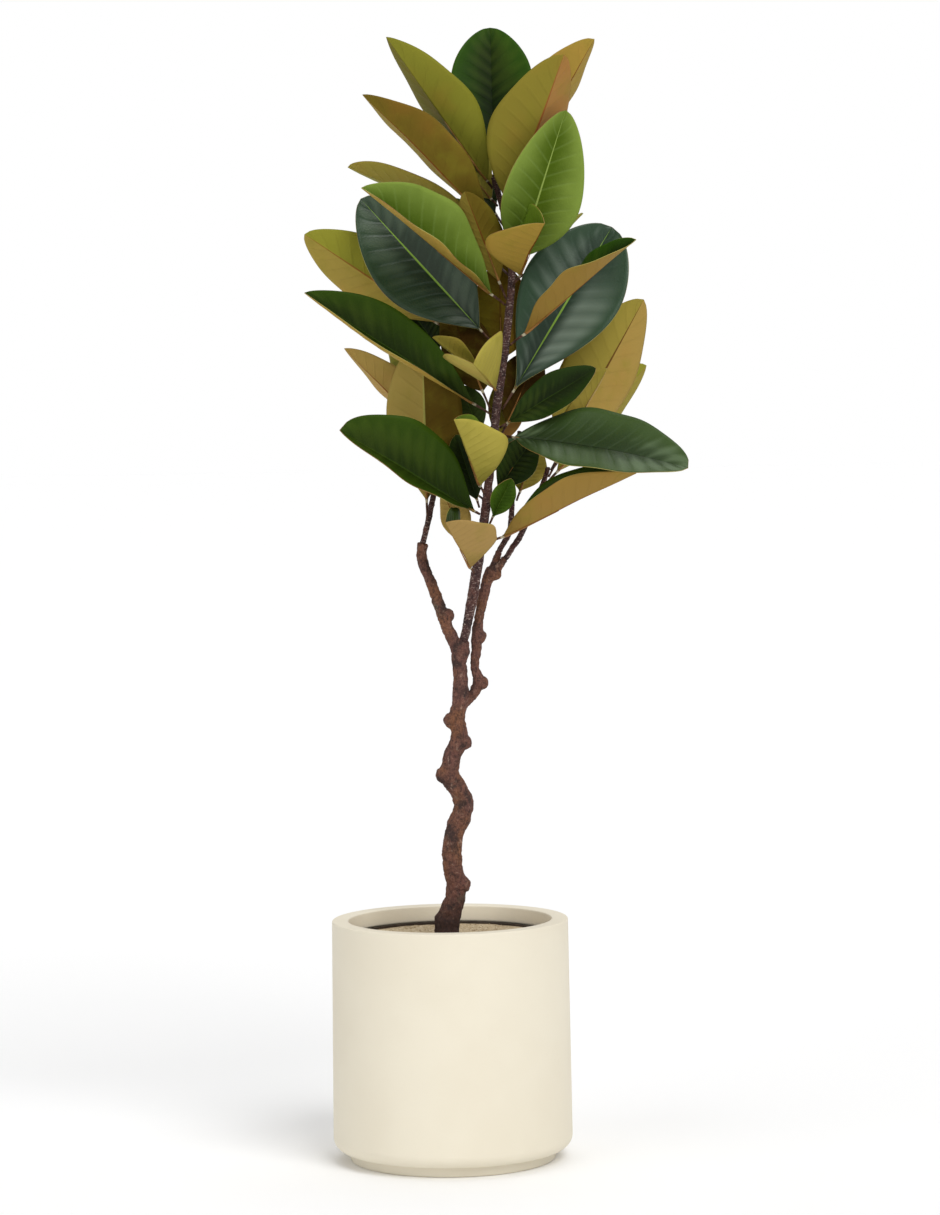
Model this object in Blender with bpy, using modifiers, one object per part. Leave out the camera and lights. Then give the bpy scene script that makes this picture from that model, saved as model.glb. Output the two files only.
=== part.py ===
"""Potted rubber plant: a round planter, a nursery pot with its fill, a crooked trunk, four stems and leaves.

The origin is the middle of the planter's underside, on the floor. Z is up and the front faces -Y.
Sizes are in millimetres and are turned into metres where a mesh is made.
"""

import math
from dataclasses import dataclass

import bmesh
import bpy
from mathutils import Quaternion, Vector

MM = 0.001

# ---- Planter ----
PLANTER_DIAMETER = 298.0
PLANTER_HEIGHT = 304.0
PLANTER_FLARE = 2.5
LIP_WIDTH = 21.0
LIP_DEPTH = 20.0
WALL = 8.0
FLOOR = 9.0
FOOT_HEIGHT = 13.0
FOOT_INSET = 22.0
BASE_ROUND = 20.0
EDGE_ROUND = 2.0

# ---- Nursery pot and its fill ----
TOUCH_GAP = 0.3
POT_CLEARANCE = 4.0
POT_WALL = 1.8
POT_TAPER = 14.0
RIM_BELOW_LIP = 0.5
FILL_BELOW_RIM = 6.0
DRESSING_DEPTH = 12.0
FILL_CLEARANCE = 0.4

# ---- Plant ----
PLANT_HEIGHT = 1152.0
DRAWN_HEIGHT = 1152.0
TRUNK_WIDTH = 25.0
TRUNK_BURIED = 90.0
TRUNK_CLEARANCE = 0.5
STEM_WIDTH = 11.0
TWIG_WIDTH = 7.5
LEAF_THICKNESS = 1.0
PETIOLE_WIDTH = 3.0
BASE_TAPER = 0.95
TIP_TAPER = 0.62

TURN_STEPS = 48
ROUND_STEPS = 3
TRUNK_SIDES = 10
STEM_SIDES = 8
PATH_STEPS = 2
SEAT_POINTS = 4
LEAF_COLUMNS = 4
LEAF_ROWS = 9
SECTION_STEPS = 12

SOIL_LEVEL = PLANTER_HEIGHT - LIP_DEPTH - RIM_BELOW_LIP - FILL_BELOW_RIM
GROWTH = PLANT_HEIGHT / DRAWN_HEIGHT

# Points on each path: across, back, up from the soil, and the width as a share of its piece's width.
TRUNK_PATH = [
    (-4, 0, 0, 1.15), (-3, 0, 25, 1.30), (7, -2, 50, 0.98), (9, -4, 72, 1.02), (4, -6, 95, 1.0),
    (5, -4, 125, 1.0), (10, 0, 144, 1.02), (19, 2, 165, 1.05), (16, 4, 184, 1.0), (7, 4, 198, 1.0),
    (2, 2, 210, 1.0), (4, 0, 222, 0.92), (8, -2, 237, 0.86), (14, -4, 250, 0.92), (15, -4, 265, 0.8),
    (12, -2, 278, 0.84), (16, 0, 298, 0.8), (18, 2, 326, 0.76), (17, 2, 350, 0.78), (18, 0, 366, 0.95),
    (22, -3, 378, 0.66),
]
LEFT_LIMB_PATH = [
    (16, 1, 355, 0.6), (9, 0, 380, 0.64), (2, -1, 395, 0.62), (-2, -2, 408, 0.66), (-9, -2, 428, 0.58),
    (-19, 0, 455, 0.54), (-27, 2, 474, 0.54), (-29, 3, 490, 0.5), (-27, 3, 501, 0.56),
]
RIGHT_LIMB_PATH = [
    (20, 4, 296, 0.5), (32, 8, 308, 0.5), (41, 10, 325, 0.56), (36, 10, 342, 0.46), (38, 9, 366, 0.52),
    (39, 8, 380, 0.56), (41, 8, 401, 0.52), (45, 8, 419, 0.54), (50, 8, 440, 0.56), (54, 8, 454, 0.6),
    (59, 9, 464, 0.66),
]
INNER_FORK_PATH = [(60, 9, 462, 0.5), (65, 12, 478, 0.4), (69, 14, 489, 0.36)]
OUTER_FORK_PATH = [(60, 9, 460, 0.5), (70, 6, 473, 0.4), (76, 5, 480, 0.36)]
TRUNK_KNOBS = [
    (16, -4, 70, 0.46), (-4, 2, 208, 0.46), (21, -3, 250, 0.38), (6, -2, 277, 0.42), (2, -2, 410, 0.4),
    (44, 9, 324, 0.36), (43, 8, 382, 0.34), (61, 8, 463, 0.42),
]
MAIN_STEM_PATH = [
    (33, -9, 426, 1.25), (42, -10, 477, 1.2), (50, -8, 527, 1.1), (57, -5, 577, 1.0),
    (63, -2, 627, 1.0), (69, 0, 677, 1.05), (77, 0, 727, 1.0), (84, 0, 777, 0.95), (88, 0, 814, 0.9),
    (90, 0, 852, 0.8), (85, 0, 889, 0.75), (77, 2, 927, 0.7), (68, 4, 958, 0.6),
]
LEFT_STEM_PATH = [
    (-20, 8, 529, 1.0), (-13, 12, 560, 1.0), (0, 20, 608, 1.0), (9, 28, 655, 0.95), (15, 34, 705, 0.9),
    (19, 38, 775, 0.75),
]
INNER_STEM_PATH = [
    (77, 19, 503, 1.0), (83, 24, 515, 1.0), (86, 32, 548, 0.95), (87, 38, 582, 0.9),
    (97, 46, 640, 0.75),
]
OUTER_STEM_PATH = [
    (86, 6, 495, 1.0), (95, 8, 507, 1.0), (115, 20, 548, 0.95), (128, 28, 580, 0.85),
    (132, 29, 594, 0.75),
]

PARTS = bpy.data.collections.new("potted_rubber_plant")
CUTTERS = bpy.data.collections.new("cutters")


@dataclass(frozen=True)
class Leaf:
    """A leaf, by where it leaves its stem and how its blade lies. Angles are in degrees."""

    stem: str
    height: float
    reach: tuple
    faces: tuple
    width: float = 90.0
    bow: float = 0.0
    fold: float = 12.0
    curl: tuple = (15.0, 15.0)
    twist: float = 0.0
    petiole: float = 25.0
    widest: float = 0.52
    tone: str = "green"


LEAVES = [
    Leaf("main", 954, (-2, 83, 199), (0, -1, 0.4), width=108, petiole=15, widest=0.58, tone="green"),
    Leaf(
        "main", 944, (-129, -42, 186), (0.6, 0.7, 0.3), width=95, fold=25, petiole=12, widest=0.48,
        tone="olive",
    ),
    Leaf("main", 934, (115, -10, 193), (-0.8, 0.7, 0), width=95, fold=25, tone="tan"),
    Leaf("main", 915, (72, -68, 187), (-0.6, 1, 0), width=116, fold=20, petiole=10, widest=0.47, tone="tan"),
    Leaf("main", 886, (-172, -69, 171), (0.8, 0.8, 0.5), width=90, fold=28, tone="olive"),
    Leaf("main", 885, (-196, 59, 92), (0.2, 0.45, 1), width=85, tone="lime"),
    Leaf("main", 922, (-56, 26, 73), (0.6, 1, 0.3), width=56, petiole=12, tone="tan"),
    Leaf("main", 798, (-175, -112, 142), (0.2, -1, 1), width=118, fold=38, tone="lime"),
    Leaf("main", 742, (-170, -5, 191), (-0.2, -1, 0.3), width=125, petiole=35, tone="blue_green"),
    Leaf("left", 765, (-184, -20, 126), (0.3, 1, 0.3), width=90, tone="olive"),
    Leaf("main", 662, (-228, -63, 153), (0.2, -1, 0.9), width=94, fold=28, curl=(45, 15), tone="green"),
    Leaf("left", 620, (-121, 40, 128), (0.8, 0.9, 0.5), width=64, fold=28, tone="tan"),
    Leaf("left", 650, (-72, 50, 116), (0.2, 1, 0.6), width=72, tone="lime"),
    Leaf("left", 530, (-3, -14, 232), (0, 1, 0.1), width=100, tone="tan"),
    Leaf("main", 537, (-171, -80, 108), (0.1, -1, 0.9), width=122, fold=30, petiole=8, tone="green"),
    Leaf(
        "main", 690, (-30, -110, 34), (-0.32, 0.3, 0.95), width=122, fold=42, curl=(25, 20),
        petiole=10, tone="tan",
    ),
    Leaf(
        "main", 562, (-36, -56, 94), (0.65, 0.1, 0.8), width=104, fold=50, curl=(25, 25), petiole=14,
        tone="tan",
    ),
    Leaf(
        "main", 464, (-34, -80, 66), (0.45, -0.05, 0.9), width=104, fold=46, curl=(20, 5), petiole=12,
        tone="tan",
    ),
    Leaf("main", 822, (38, -105, 72), (-0.7, 0.5, 0.3), width=118, fold=42, tone="tan"),
    Leaf("main", 805, (-50, -48, 132), (0.2, 1, 0.1), width=56, fold=20, tone="olive"),
    Leaf("main", 845, (63, -45, 191), (0.35, -1, 0.1), width=108, petiole=14, widest=0.43, tone="lime"),
    Leaf("main", 668, (142, 45, 228), (-0.1, -1, 0.1), width=134, petiole=28, widest=0.6, tone="blue_green"),
    Leaf("main", 748, (155, -97, 125), (-0.5, 0.3, 1), width=66, fold=38, twist=70, tone="tan"),
    Leaf("main", 826, (91, 128, 92), (-0.5, 0.6, 1), width=34, tone="lime"),
    Leaf("outer", 590, (122, 50, 215), (-0.3, 1, 0.3), width=108, petiole=12, tone="tan"),
    Leaf("outer", 582, (73, -60, 135), (-0.6, 0.6, 0.3), width=46, fold=30, tone="tan"),
    Leaf("main", 645, (120, -45, 72), (0.3, -1, 0.5), width=52, petiole=12, tone="green"),
    Leaf("main", 635, (231, -119, -42), (0, -1, 1), width=112, bow=8, petiole=24, widest=0.47, tone="green"),
    Leaf("main", 500, (185, -88, 87), (-0.3, -0.2, 1), width=92, fold=45, curl=(20, 20), tone="tan"),
    Leaf("main", 628, (54, 32, 114), (-0.3, 1, 0.3), width=70, tone="olive"),
    Leaf("main", 600, (38, 57, 128), (-0.3, 1, 0.3), width=56, tone="tan"),
    Leaf("main", 560, (53, 8, 73), (0.3, -1, 0.3), width=52, petiole=10, tone="green"),
    Leaf("inner", 552, (24, -2, 70), (-0.2, 1, 0.3), width=60, petiole=13, tone="lime"),
    Leaf("main", 525, (28, -12, 56), (0.3, -1, 0.3), width=32, petiole=10, tone="green"),
    Leaf("main", 545, (-28, 6, 92), (-0.2, -1, 0.3), width=46, petiole=10, tone="green"),
    Leaf("left", 725, (-60, 25, 83), (-0.2, -1, 0.3), width=70, tone="green"),
    Leaf("left", 745, (-22, 12, 95), (0.2, 1, 0.3), width=75, tone="olive"),
    Leaf("main", 897, (-45, 62, 75), (-0.2, -1, 0.3), width=50, tone="green"),
    Leaf("main", 478, (-38, 42, 88), (0.2, 1, 0.3), width=42, tone="tan"),
    Leaf("main", 668, (-54, 8, 140), (0.2, 1, 0.2), width=70, widest=0.42, tone="olive"),
    Leaf("main", 697, (-76, -16, 62), (0.4, 0.6, 1), width=40, fold=30, tone="olive"),
    Leaf("outer", 572, (135, 125, 150), (-0.3, 1, 0.6), width=75, tone="tan"),
    Leaf("main", 872, (22, 160, 6), (0, -0.5, 1), width=64, tone="green"),
    Leaf("left", 740, (60, 125, 80), (0, -0.5, 1), width=90, tone="green"),
    Leaf("main", 835, (-95, 130, 105), (0, -0.5, 1), width=85, tone="green"),
    Leaf("main", 575, (-10, 170, 60), (0, -0.5, 1), width=90, tone="green"),
    Leaf("main", 555, (-85, 140, 60), (0, -0.5, 1), width=85, tone="green"),
    Leaf("main", 616, (-32, 27, 82), (-0.2, -1, 0.3), width=44, tone="green"),
    Leaf("main", 722, (-2, 32, 132), (0.1, 1, 0.2), width=90, petiole=10, widest=0.45, tone="olive"),
]

TONES = {
    "blue_green": (0.032, 0.078, 0.054, 1.0),
    "green": (0.030, 0.070, 0.012, 1.0),
    "lime": (0.200, 0.330, 0.070, 1.0),
    "olive": (0.210, 0.170, 0.025, 1.0),
    "tan": (0.390, 0.250, 0.070, 1.0),
}


def clear_scene():
    for item in list(bpy.data.objects):
        bpy.data.objects.remove(item, do_unlink=True)


def principled(name, colour, roughness):
    """A plain material of one colour and roughness."""
    material = bpy.data.materials.new(name)
    material.use_nodes = True
    shader = material.node_tree.nodes["Principled BSDF"]
    shader.inputs["Base Color"].default_value = colour
    shader.inputs["Roughness"].default_value = roughness
    material.diffuse_color = colour
    return material


def add_object(name, data, collection, material=None):
    item = bpy.data.objects.new(name, data)
    collection.objects.link(item)
    if material:
        data.materials.append(material)
    return item


# ---- Turned pieces ----


def rounded_corner(corner, before, after, radius):
    """The points of an arc that rounds the corner between two neighbouring points of a profile."""
    corner, before, after = Vector(corner), Vector(before), Vector(after)
    first = (before - corner).normalized()
    second = (after - corner).normalized()
    half = first.angle(second) / 2
    start = corner + first * radius / math.tan(half)
    end = corner + second * radius / math.tan(half)
    centre = corner + (first + second).normalized() * radius / math.sin(half)
    points = []
    for step in range(ROUND_STEPS + 1):
        spoke = (start - centre).lerp(end - centre, step / ROUND_STEPS)
        points.append(centre + spoke.normalized() * radius)
    return points


def rounded_profile(corners):
    """A profile's points from (radius, height, rounding) corners. A corner with no rounding stays sharp."""
    points = []
    for index, (radius, height, rounding) in enumerate(corners):
        if rounding:
            before, after = corners[index - 1][:2], corners[index + 1][:2]
            points += rounded_corner((radius, height), before, after, rounding)
        else:
            points.append(Vector((radius, height)))
    return points


def turned(name, corners, material):
    """A closed solid turned round Z from a profile that runs down its outer side and back up its inner one."""
    points = rounded_profile(corners)
    mesh = bpy.data.meshes.new(name)
    mesh.from_pydata(
        [(p.x * MM, 0, p.y * MM) for p in points],
        [(i, i + 1) for i in range(len(points) - 1)],
        [],
    )
    item = add_object(name, mesh, PARTS, material)
    screw = item.modifiers.new("turn", "SCREW")
    screw.steps = TURN_STEPS
    screw.render_steps = TURN_STEPS
    screw.use_merge_vertices = True
    screw.merge_threshold = 0.00001
    return item


def baked(item):
    """Applies an object's modifiers, so that later steps meet a plain mesh."""
    graph = bpy.context.evaluated_depsgraph_get()
    mesh = bpy.data.meshes.new_from_object(item.evaluated_get(graph))
    item.modifiers.clear()
    item.data = mesh
    return item


def make_planter():
    outer = PLANTER_DIAMETER / 2
    belly = outer + PLANTER_FLARE
    foot = belly - FOOT_INSET
    mouth = outer - LIP_WIDTH
    inside = outer - WALL
    lip_under = PLANTER_HEIGHT - LIP_DEPTH
    floor_top = FOOT_HEIGHT + FLOOR
    # The profile starts and ends midway across the lip's flat top, so both top edges can be rounded.
    middle = ((outer + mouth) / 2, PLANTER_HEIGHT, 0)
    corners = [
        middle,
        (outer, PLANTER_HEIGHT, EDGE_ROUND),
        (belly, FOOT_HEIGHT, BASE_ROUND),
        (foot, FOOT_HEIGHT, 0),
        (foot, 0, EDGE_ROUND),
        (0, 0, 0),
        (0, floor_top, 0),
        (inside, floor_top, 0),
        (inside, lip_under - LIP_DEPTH / 4, 0),
        (mouth, lip_under, EDGE_ROUND),
        (mouth, PLANTER_HEIGHT, EDGE_ROUND),
        middle,
    ]
    return turned("planter", corners, principled("planter", (0.84, 0.78, 0.65, 1.0), 0.6))


def pot_radius(height):
    """The nursery pot's outer radius at a height above the floor."""
    rim = PLANTER_DIAMETER / 2 - LIP_WIDTH - POT_CLEARANCE
    top, bottom = pot_rim_height(), pot_floor_height()
    return rim - POT_TAPER * (top - height) / (top - bottom)


def pot_rim_height():
    return PLANTER_HEIGHT - LIP_DEPTH - RIM_BELOW_LIP


def pot_floor_height():
    return FOOT_HEIGHT + FLOOR + TOUCH_GAP


def make_nursery_pot():
    top, bottom = pot_rim_height(), pot_floor_height()
    corners = [
        (pot_radius(top), top, 0),
        (pot_radius(bottom), bottom, 0),
        (0, bottom, 0),
        (0, bottom + POT_WALL, 0),
        (pot_radius(bottom + POT_WALL) - POT_WALL, bottom + POT_WALL, 0),
        (pot_radius(top) - POT_WALL, top, 0),
        (pot_radius(top), top, 0),
    ]
    return turned("nursery_pot", corners, principled("nursery_pot", (0.045, 0.026, 0.017, 1.0), 0.5))


def fill_layer(name, top, bottom, colour):
    """A disc of fill that follows the inside of the nursery pot between two heights, with the trunk's hole."""
    inset = POT_WALL + FILL_CLEARANCE
    corners = [
        (0, top, 0),
        (pot_radius(top) - inset, top, 0),
        (pot_radius(bottom) - inset, bottom, 0),
        (0, bottom, 0),
    ]
    layer = baked(turned(name, corners, principled(name, colour, 0.95)))
    cut_away(layer, trunk_hole(name + "_hole"))
    return layer


def make_fill():
    dressing_bottom = SOIL_LEVEL - DRESSING_DEPTH
    mix_top = dressing_bottom - TOUCH_GAP
    mix_bottom = pot_floor_height() + POT_WALL + TOUCH_GAP
    fill_layer("top_dressing", SOIL_LEVEL, dressing_bottom, (0.42, 0.35, 0.23, 1.0))
    fill_layer("potting_mix", mix_top, mix_bottom, (0.035, 0.022, 0.014, 1.0))


# ---- Trunk and stems ----


def grown(point):
    """A drawn point of the plant, in place: scaled with the plant and standing on the soil."""
    x, y, z = point[:3]
    return Vector((x * GROWTH, y * GROWTH, z * GROWTH + SOIL_LEVEL))


def smooth_path(drawn, width):
    """(centre, radius) along a smooth curve through a path's points."""
    knots = [(grown(p), p[3] * width / 2) for p in drawn]
    last = len(knots) - 1
    smooth = []
    for index in range(last):
        centres = [knots[min(max(index + k, 0), last)][0] for k in (-1, 0, 1, 2)]
        radii = [knots[min(max(index + k, 0), last)][1] for k in (-1, 0, 1, 2)]
        for step in range(PATH_STEPS):
            t = step / PATH_STEPS
            smooth.append((spline(*centres, t), spline(*radii, t)))
    smooth.append(knots[last])
    return smooth


def spline(a, b, c, d, t):
    """Catmull-Rom: the value at t between b and c."""
    bend = (a * 2 - b * 5 + c * 4 - d) * t * t + (b * 3 - a - c * 3 + d) * t * t * t
    return (b * 2 + (c - a) * t + bend) * 0.5


def tube(name, path, sides, collection=PARTS, material=None):
    """A closed round tube along (centre, radius) pairs."""
    curve = bpy.data.curves.new(name, "CURVE")
    curve.dimensions = "3D"
    curve.bevel_depth = MM
    curve.bevel_resolution = sides // 2 - 2
    curve.use_fill_caps = True
    line = curve.splines.new("POLY")
    line.points.add(len(path) - 1)
    for point, (centre, radius) in zip(line.points, path):
        point.co = (*(centre * MM), 1)
        point.radius = radius
    rail = bpy.data.objects.new(name + "_rail", curve)
    graph = bpy.context.evaluated_depsgraph_get()
    bpy.context.scene.collection.objects.link(rail)
    mesh = bpy.data.meshes.new_from_object(rail.evaluated_get(graph))
    bpy.data.objects.remove(rail, do_unlink=True)
    mesh.name = name
    mend(mesh)
    return add_object(name, mesh, collection, material)


def mend(mesh):
    """Joins the doubled points of a mesh and turns its faces outward."""
    body = bmesh.new()
    body.from_mesh(mesh)
    bmesh.ops.remove_doubles(body, verts=body.verts, dist=0.01 * MM)
    bmesh.ops.recalc_face_normals(body, faces=body.faces)
    body.to_mesh(mesh)
    body.free()


def hidden_cutter(item):
    item.hide_render = True
    item.display_type = "WIRE"
    return item


def cut_away(item, cutter):
    cut = item.modifiers.new("cut_" + cutter.name, "BOOLEAN")
    cut.operation = "DIFFERENCE"
    cut.solver = "EXACT"
    cut.object = hidden_cutter(cutter)


def join_on(item, branch):
    union = item.modifiers.new("join_" + branch.name, "BOOLEAN")
    union.operation = "UNION"
    union.solver = "EXACT"
    union.object = hidden_cutter(branch)


def buried_path():
    """The trunk's foot, from its end in the potting mix up to the soil."""
    centre, radius = smooth_path(TRUNK_PATH, TRUNK_WIDTH)[0]
    foot = centre - Vector((0, 0, TRUNK_BURIED))
    return [(foot, radius * 0.8), (centre.lerp(foot, 0.3), radius * 0.95)]


def trunk_hole(name):
    """A cutter round the trunk's foot, wider than the trunk by its clearance."""
    path = buried_path() + smooth_path(TRUNK_PATH, TRUNK_WIDTH)[: 2 * PATH_STEPS]
    path = [(centre, radius + TRUNK_CLEARANCE) for centre, radius in path]
    foot, radius = path[0]
    path.insert(0, (foot - Vector((0, 0, TRUNK_CLEARANCE)), radius))
    return tube(name, path, TRUNK_SIDES, CUTTERS)


def make_trunk(paths):
    """The forked trunk with its knobs. Each stem's seat is cut clear of the limbs beside it."""
    bark = principled("trunk", (0.130, 0.070, 0.042, 1.0), 0.85)
    path = buried_path() + smooth_path(TRUNK_PATH, TRUNK_WIDTH)
    trunk = tube("trunk", path, TRUNK_SIDES, material=bark)
    limbs = {
        "left_limb": LEFT_LIMB_PATH,
        "right_limb": RIGHT_LIMB_PATH,
        "inner_fork": INNER_FORK_PATH,
        "outer_fork": OUTER_FORK_PATH,
    }
    for name, drawn in limbs.items():
        join_on(trunk, tube(name, smooth_path(drawn, TRUNK_WIDTH), TRUNK_SIDES, CUTTERS))
    for index, knob in enumerate(TRUNK_KNOBS):
        join_on(trunk, make_knob("knob_%d" % (index + 1), knob))
    for name, path in paths.items():
        seat = [(centre, radius + TOUCH_GAP) for centre, radius in path[:SEAT_POINTS]]
        cut_away(trunk, tube("seat_" + name, seat, STEM_SIDES, CUTTERS))
    return trunk


def make_knob(name, knob):
    """A rounded knob on the trunk's side, where a branch once grew."""
    body = bmesh.new()
    bmesh.ops.create_icosphere(body, subdivisions=2, radius=knob[3] * TRUNK_WIDTH * MM)
    bmesh.ops.translate(body, verts=body.verts, vec=grown(knob) * MM)
    mesh = bpy.data.meshes.new(name)
    body.to_mesh(mesh)
    body.free()
    return add_object(name, mesh, CUTTERS)


def set_on(limb, drawn, width):
    """A stem's smooth path. Its first stretch carries on from the limb's cut end, a touch away from it."""
    end = smooth_path(limb, TRUNK_WIDTH)
    heading = (end[-1][0] - end[-2][0]).normalized()
    path = smooth_path(drawn, width)
    seat = end[-1][0] + heading * TOUCH_GAP
    return [(seat, width / 2), (seat + heading * width / 2, width / 2)] + path


def stem_paths():
    """Each stem's smooth path, by the short name that its leaves use."""
    return {
        "main": set_on(TRUNK_PATH, MAIN_STEM_PATH, STEM_WIDTH),
        "left": set_on(LEFT_LIMB_PATH, LEFT_STEM_PATH, TWIG_WIDTH),
        "inner": set_on(INNER_FORK_PATH, INNER_STEM_PATH, TWIG_WIDTH),
        "outer": set_on(OUTER_FORK_PATH, OUTER_STEM_PATH, TWIG_WIDTH),
    }


def make_stems(paths):
    for name, path in paths.items():
        bark = principled("stem_" + name, (0.070, 0.036, 0.026, 1.0), 0.85)
        tube("stem_" + name, path, STEM_SIDES, material=bark)


# ---- Leaves ----


def stem_at(path, height):
    """(centre, radius) of a stem at a height above the floor."""
    for (low, low_radius), (high, high_radius) in zip(path, path[1:]):
        if low.z <= height <= high.z:
            share = (height - low.z) / (high.z - low.z)
            return low.lerp(high, share), low_radius + share * (high_radius - low_radius)
    return path[-1]


def across(vector, axis):
    """The part of a vector that is square to an axis, at length 1."""
    return (vector - axis * vector.dot(axis)).normalized()


def section(fold, curl, share):
    """(sideways, lift) of a point at a share of the way from the midrib to an edge, for a half 1 wide."""
    sideways, lift = 0.0, 0.0
    for step in range(SECTION_STEPS):
        at = (step + 0.5) / SECTION_STEPS * share
        angle = math.radians(fold + curl * at * at)
        sideways += math.cos(angle) * share / SECTION_STEPS
        lift += math.sin(angle) * share / SECTION_STEPS
    return sideways, lift


def blade_width(leaf, along):
    """The blade's half width at a share of the way from its base to its tip."""
    stretch = math.log(0.5) / math.log(leaf.widest)
    fullness = BASE_TAPER + (TIP_TAPER - BASE_TAPER) * along
    outline = math.sin(math.pi * along**stretch) ** fullness
    return max(leaf.width * GROWTH / 2 * outline, PETIOLE_WIDTH / 2)


class LeafShape:
    """The surface of one leaf, as a point for each place along and across it."""

    def __init__(self, leaf, path):
        self.leaf = leaf
        self.chord = Vector(leaf.reach) * GROWTH
        self.up = across(Vector(leaf.faces), self.chord.normalized())
        self.bow = leaf.bow * GROWTH
        start = self.heading(0)
        level = Vector((start.x, start.y, 0)).normalized()
        centre, radius = stem_at(path, leaf.height * GROWTH + SOIL_LEVEL)
        lean = PETIOLE_WIDTH / math.sqrt(2) * abs(start.z)
        self.base = centre + level * (radius + TOUCH_GAP + lean)
        self.petiole_share = leaf.petiole * GROWTH / self.chord.length

    def heading(self, along):
        return (self.chord + self.up * self.bow * 4 * (1 - 2 * along)).normalized()

    def point(self, along, side):
        """The point at a share along the leaf and at side -1 (left edge) to 1 (right edge)."""
        leaf = self.leaf
        middle = self.base + self.chord * along + self.up * self.bow * 4 * along * (1 - along)
        heading = self.heading(along)
        up = Quaternion(heading, math.radians(leaf.twist) * along**3) @ across(self.up, heading)
        right = heading.cross(up)
        if along <= self.petiole_share:
            return middle + right * side * PETIOLE_WIDTH / 2
        half = blade_width(leaf, (along - self.petiole_share) / (1 - self.petiole_share))
        sideways, lift = section(leaf.fold, leaf.curl[side > 0], abs(side))
        return middle + right * math.copysign(sideways, side) * half + up * lift * half


def make_leaf(name, leaf, path):
    """A leaf's blade and petiole, as one thin closed solid."""
    shape = LeafShape(leaf, path)
    body = bmesh.new()
    bmesh.ops.create_grid(body, x_segments=LEAF_COLUMNS, y_segments=LEAF_ROWS, size=1)
    body.verts.ensure_lookup_table()
    thick = body.verts.layers.deform.verify()
    blade_rows = LEAF_ROWS - 1
    for vert in body.verts:
        side = vert.co.x
        row = round((vert.co.y + 1) / 2 * LEAF_ROWS)
        along = 0.0
        if row:
            blade = (row - 1) / blade_rows
            along = shape.petiole_share + (1 - shape.petiole_share) * blade
        vert.co = shape.point(along, side) * MM
        vert[thick][0] = 1.0 if row <= 1 else 0.0
    bmesh.ops.remove_doubles(body, verts=body.verts, dist=0.2 * MM)
    mesh = bpy.data.meshes.new(name)
    body.to_mesh(mesh)
    body.free()
    item = add_object(name, mesh, PARTS, principled(name, TONES[leaf.tone], 0.4))
    item.vertex_groups.new(name="petiole")
    solid = item.modifiers.new("thickness", "SOLIDIFY")
    solid.thickness = PETIOLE_WIDTH * MM
    solid.offset = 0
    solid.vertex_group = "petiole"
    solid.thickness_vertex_group = LEAF_THICKNESS / PETIOLE_WIDTH
    return item


def main():
    clear_scene()
    bpy.context.scene.collection.children.link(PARTS)
    bpy.context.scene.collection.children.link(CUTTERS)
    CUTTERS.hide_render = True
    make_planter()
    make_nursery_pot()
    make_fill()
    paths = stem_paths()
    make_trunk(paths)
    make_stems(paths)
    for index, leaf in enumerate(LEAVES):
        make_leaf("leaf_%02d" % (index + 1), leaf, paths[leaf.stem])


main()
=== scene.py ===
"""Looks of a potted rubber plant: planter, liner, fill, bark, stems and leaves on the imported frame.

Sizes are in millimetres, as in the solid model, and become metres where a mesh is made.
"""

import logging
import math
import random
from collections.abc import Callable
from dataclasses import dataclass, field
from enum import Enum
from functools import cache

import bmesh
import bpy
from bmesh.types import BMesh, BMFace, BMVert
from bpy.types import Material, NodeSocket, Object
from mathutils import Matrix, Quaternion, Vector, noise

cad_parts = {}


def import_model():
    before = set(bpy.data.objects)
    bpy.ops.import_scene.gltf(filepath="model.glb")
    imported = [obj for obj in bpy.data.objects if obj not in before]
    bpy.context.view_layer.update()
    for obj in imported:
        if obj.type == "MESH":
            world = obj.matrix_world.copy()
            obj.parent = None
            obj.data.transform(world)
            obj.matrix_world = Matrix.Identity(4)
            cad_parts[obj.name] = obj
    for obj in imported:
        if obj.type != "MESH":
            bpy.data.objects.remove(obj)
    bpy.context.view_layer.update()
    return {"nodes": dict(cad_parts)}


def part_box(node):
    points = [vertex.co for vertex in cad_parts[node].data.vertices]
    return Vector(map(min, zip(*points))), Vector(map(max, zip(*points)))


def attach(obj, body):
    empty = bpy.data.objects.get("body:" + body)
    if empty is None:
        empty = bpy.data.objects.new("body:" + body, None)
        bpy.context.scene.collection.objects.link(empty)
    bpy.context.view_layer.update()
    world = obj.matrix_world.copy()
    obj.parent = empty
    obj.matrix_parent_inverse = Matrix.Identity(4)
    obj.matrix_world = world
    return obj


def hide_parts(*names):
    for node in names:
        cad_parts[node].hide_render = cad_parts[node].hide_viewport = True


LOG = logging.getLogger("potted_plant")
MM = 0.001
BODY = "root"

Colour = tuple[float, float, float]
Point = tuple[float, float, float]
Path = list[tuple[Vector, float]]


def tint(red: int, green: int, blue: int) -> Colour:
    """Turns a colour as a screen shows it into the linear colour that a shader takes.

    Args:
        red: Red, from 0 to 255.
        green: Green, from 0 to 255.
        blue: Blue, from 0 to 255.

    Returns:
        The linear red, green and blue.
    """
    shown = (part / 255 for part in (red, green, blue))
    return tuple(((c + 0.055) / 1.055) ** 2.4 if c > 0.04 else c / 12.92 for c in shown)


# ---- shader maths


def operator(operation: str, swapped: bool = False) -> Callable:
    """A method of Value that adds one Math node.

    Args:
        operation: The node's operation.
        swapped: Whether the other value comes first.

    Returns:
        The method.
    """

    def method(value: "Value", other: object = 0.0) -> "Value":
        """The operation on the value and the other one."""
        first, second = (other, value) if swapped else (value, other)
        return value.shader.node("ShaderNodeMath", {"operation": operation}, {0: first, 1: second})

    return method


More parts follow.
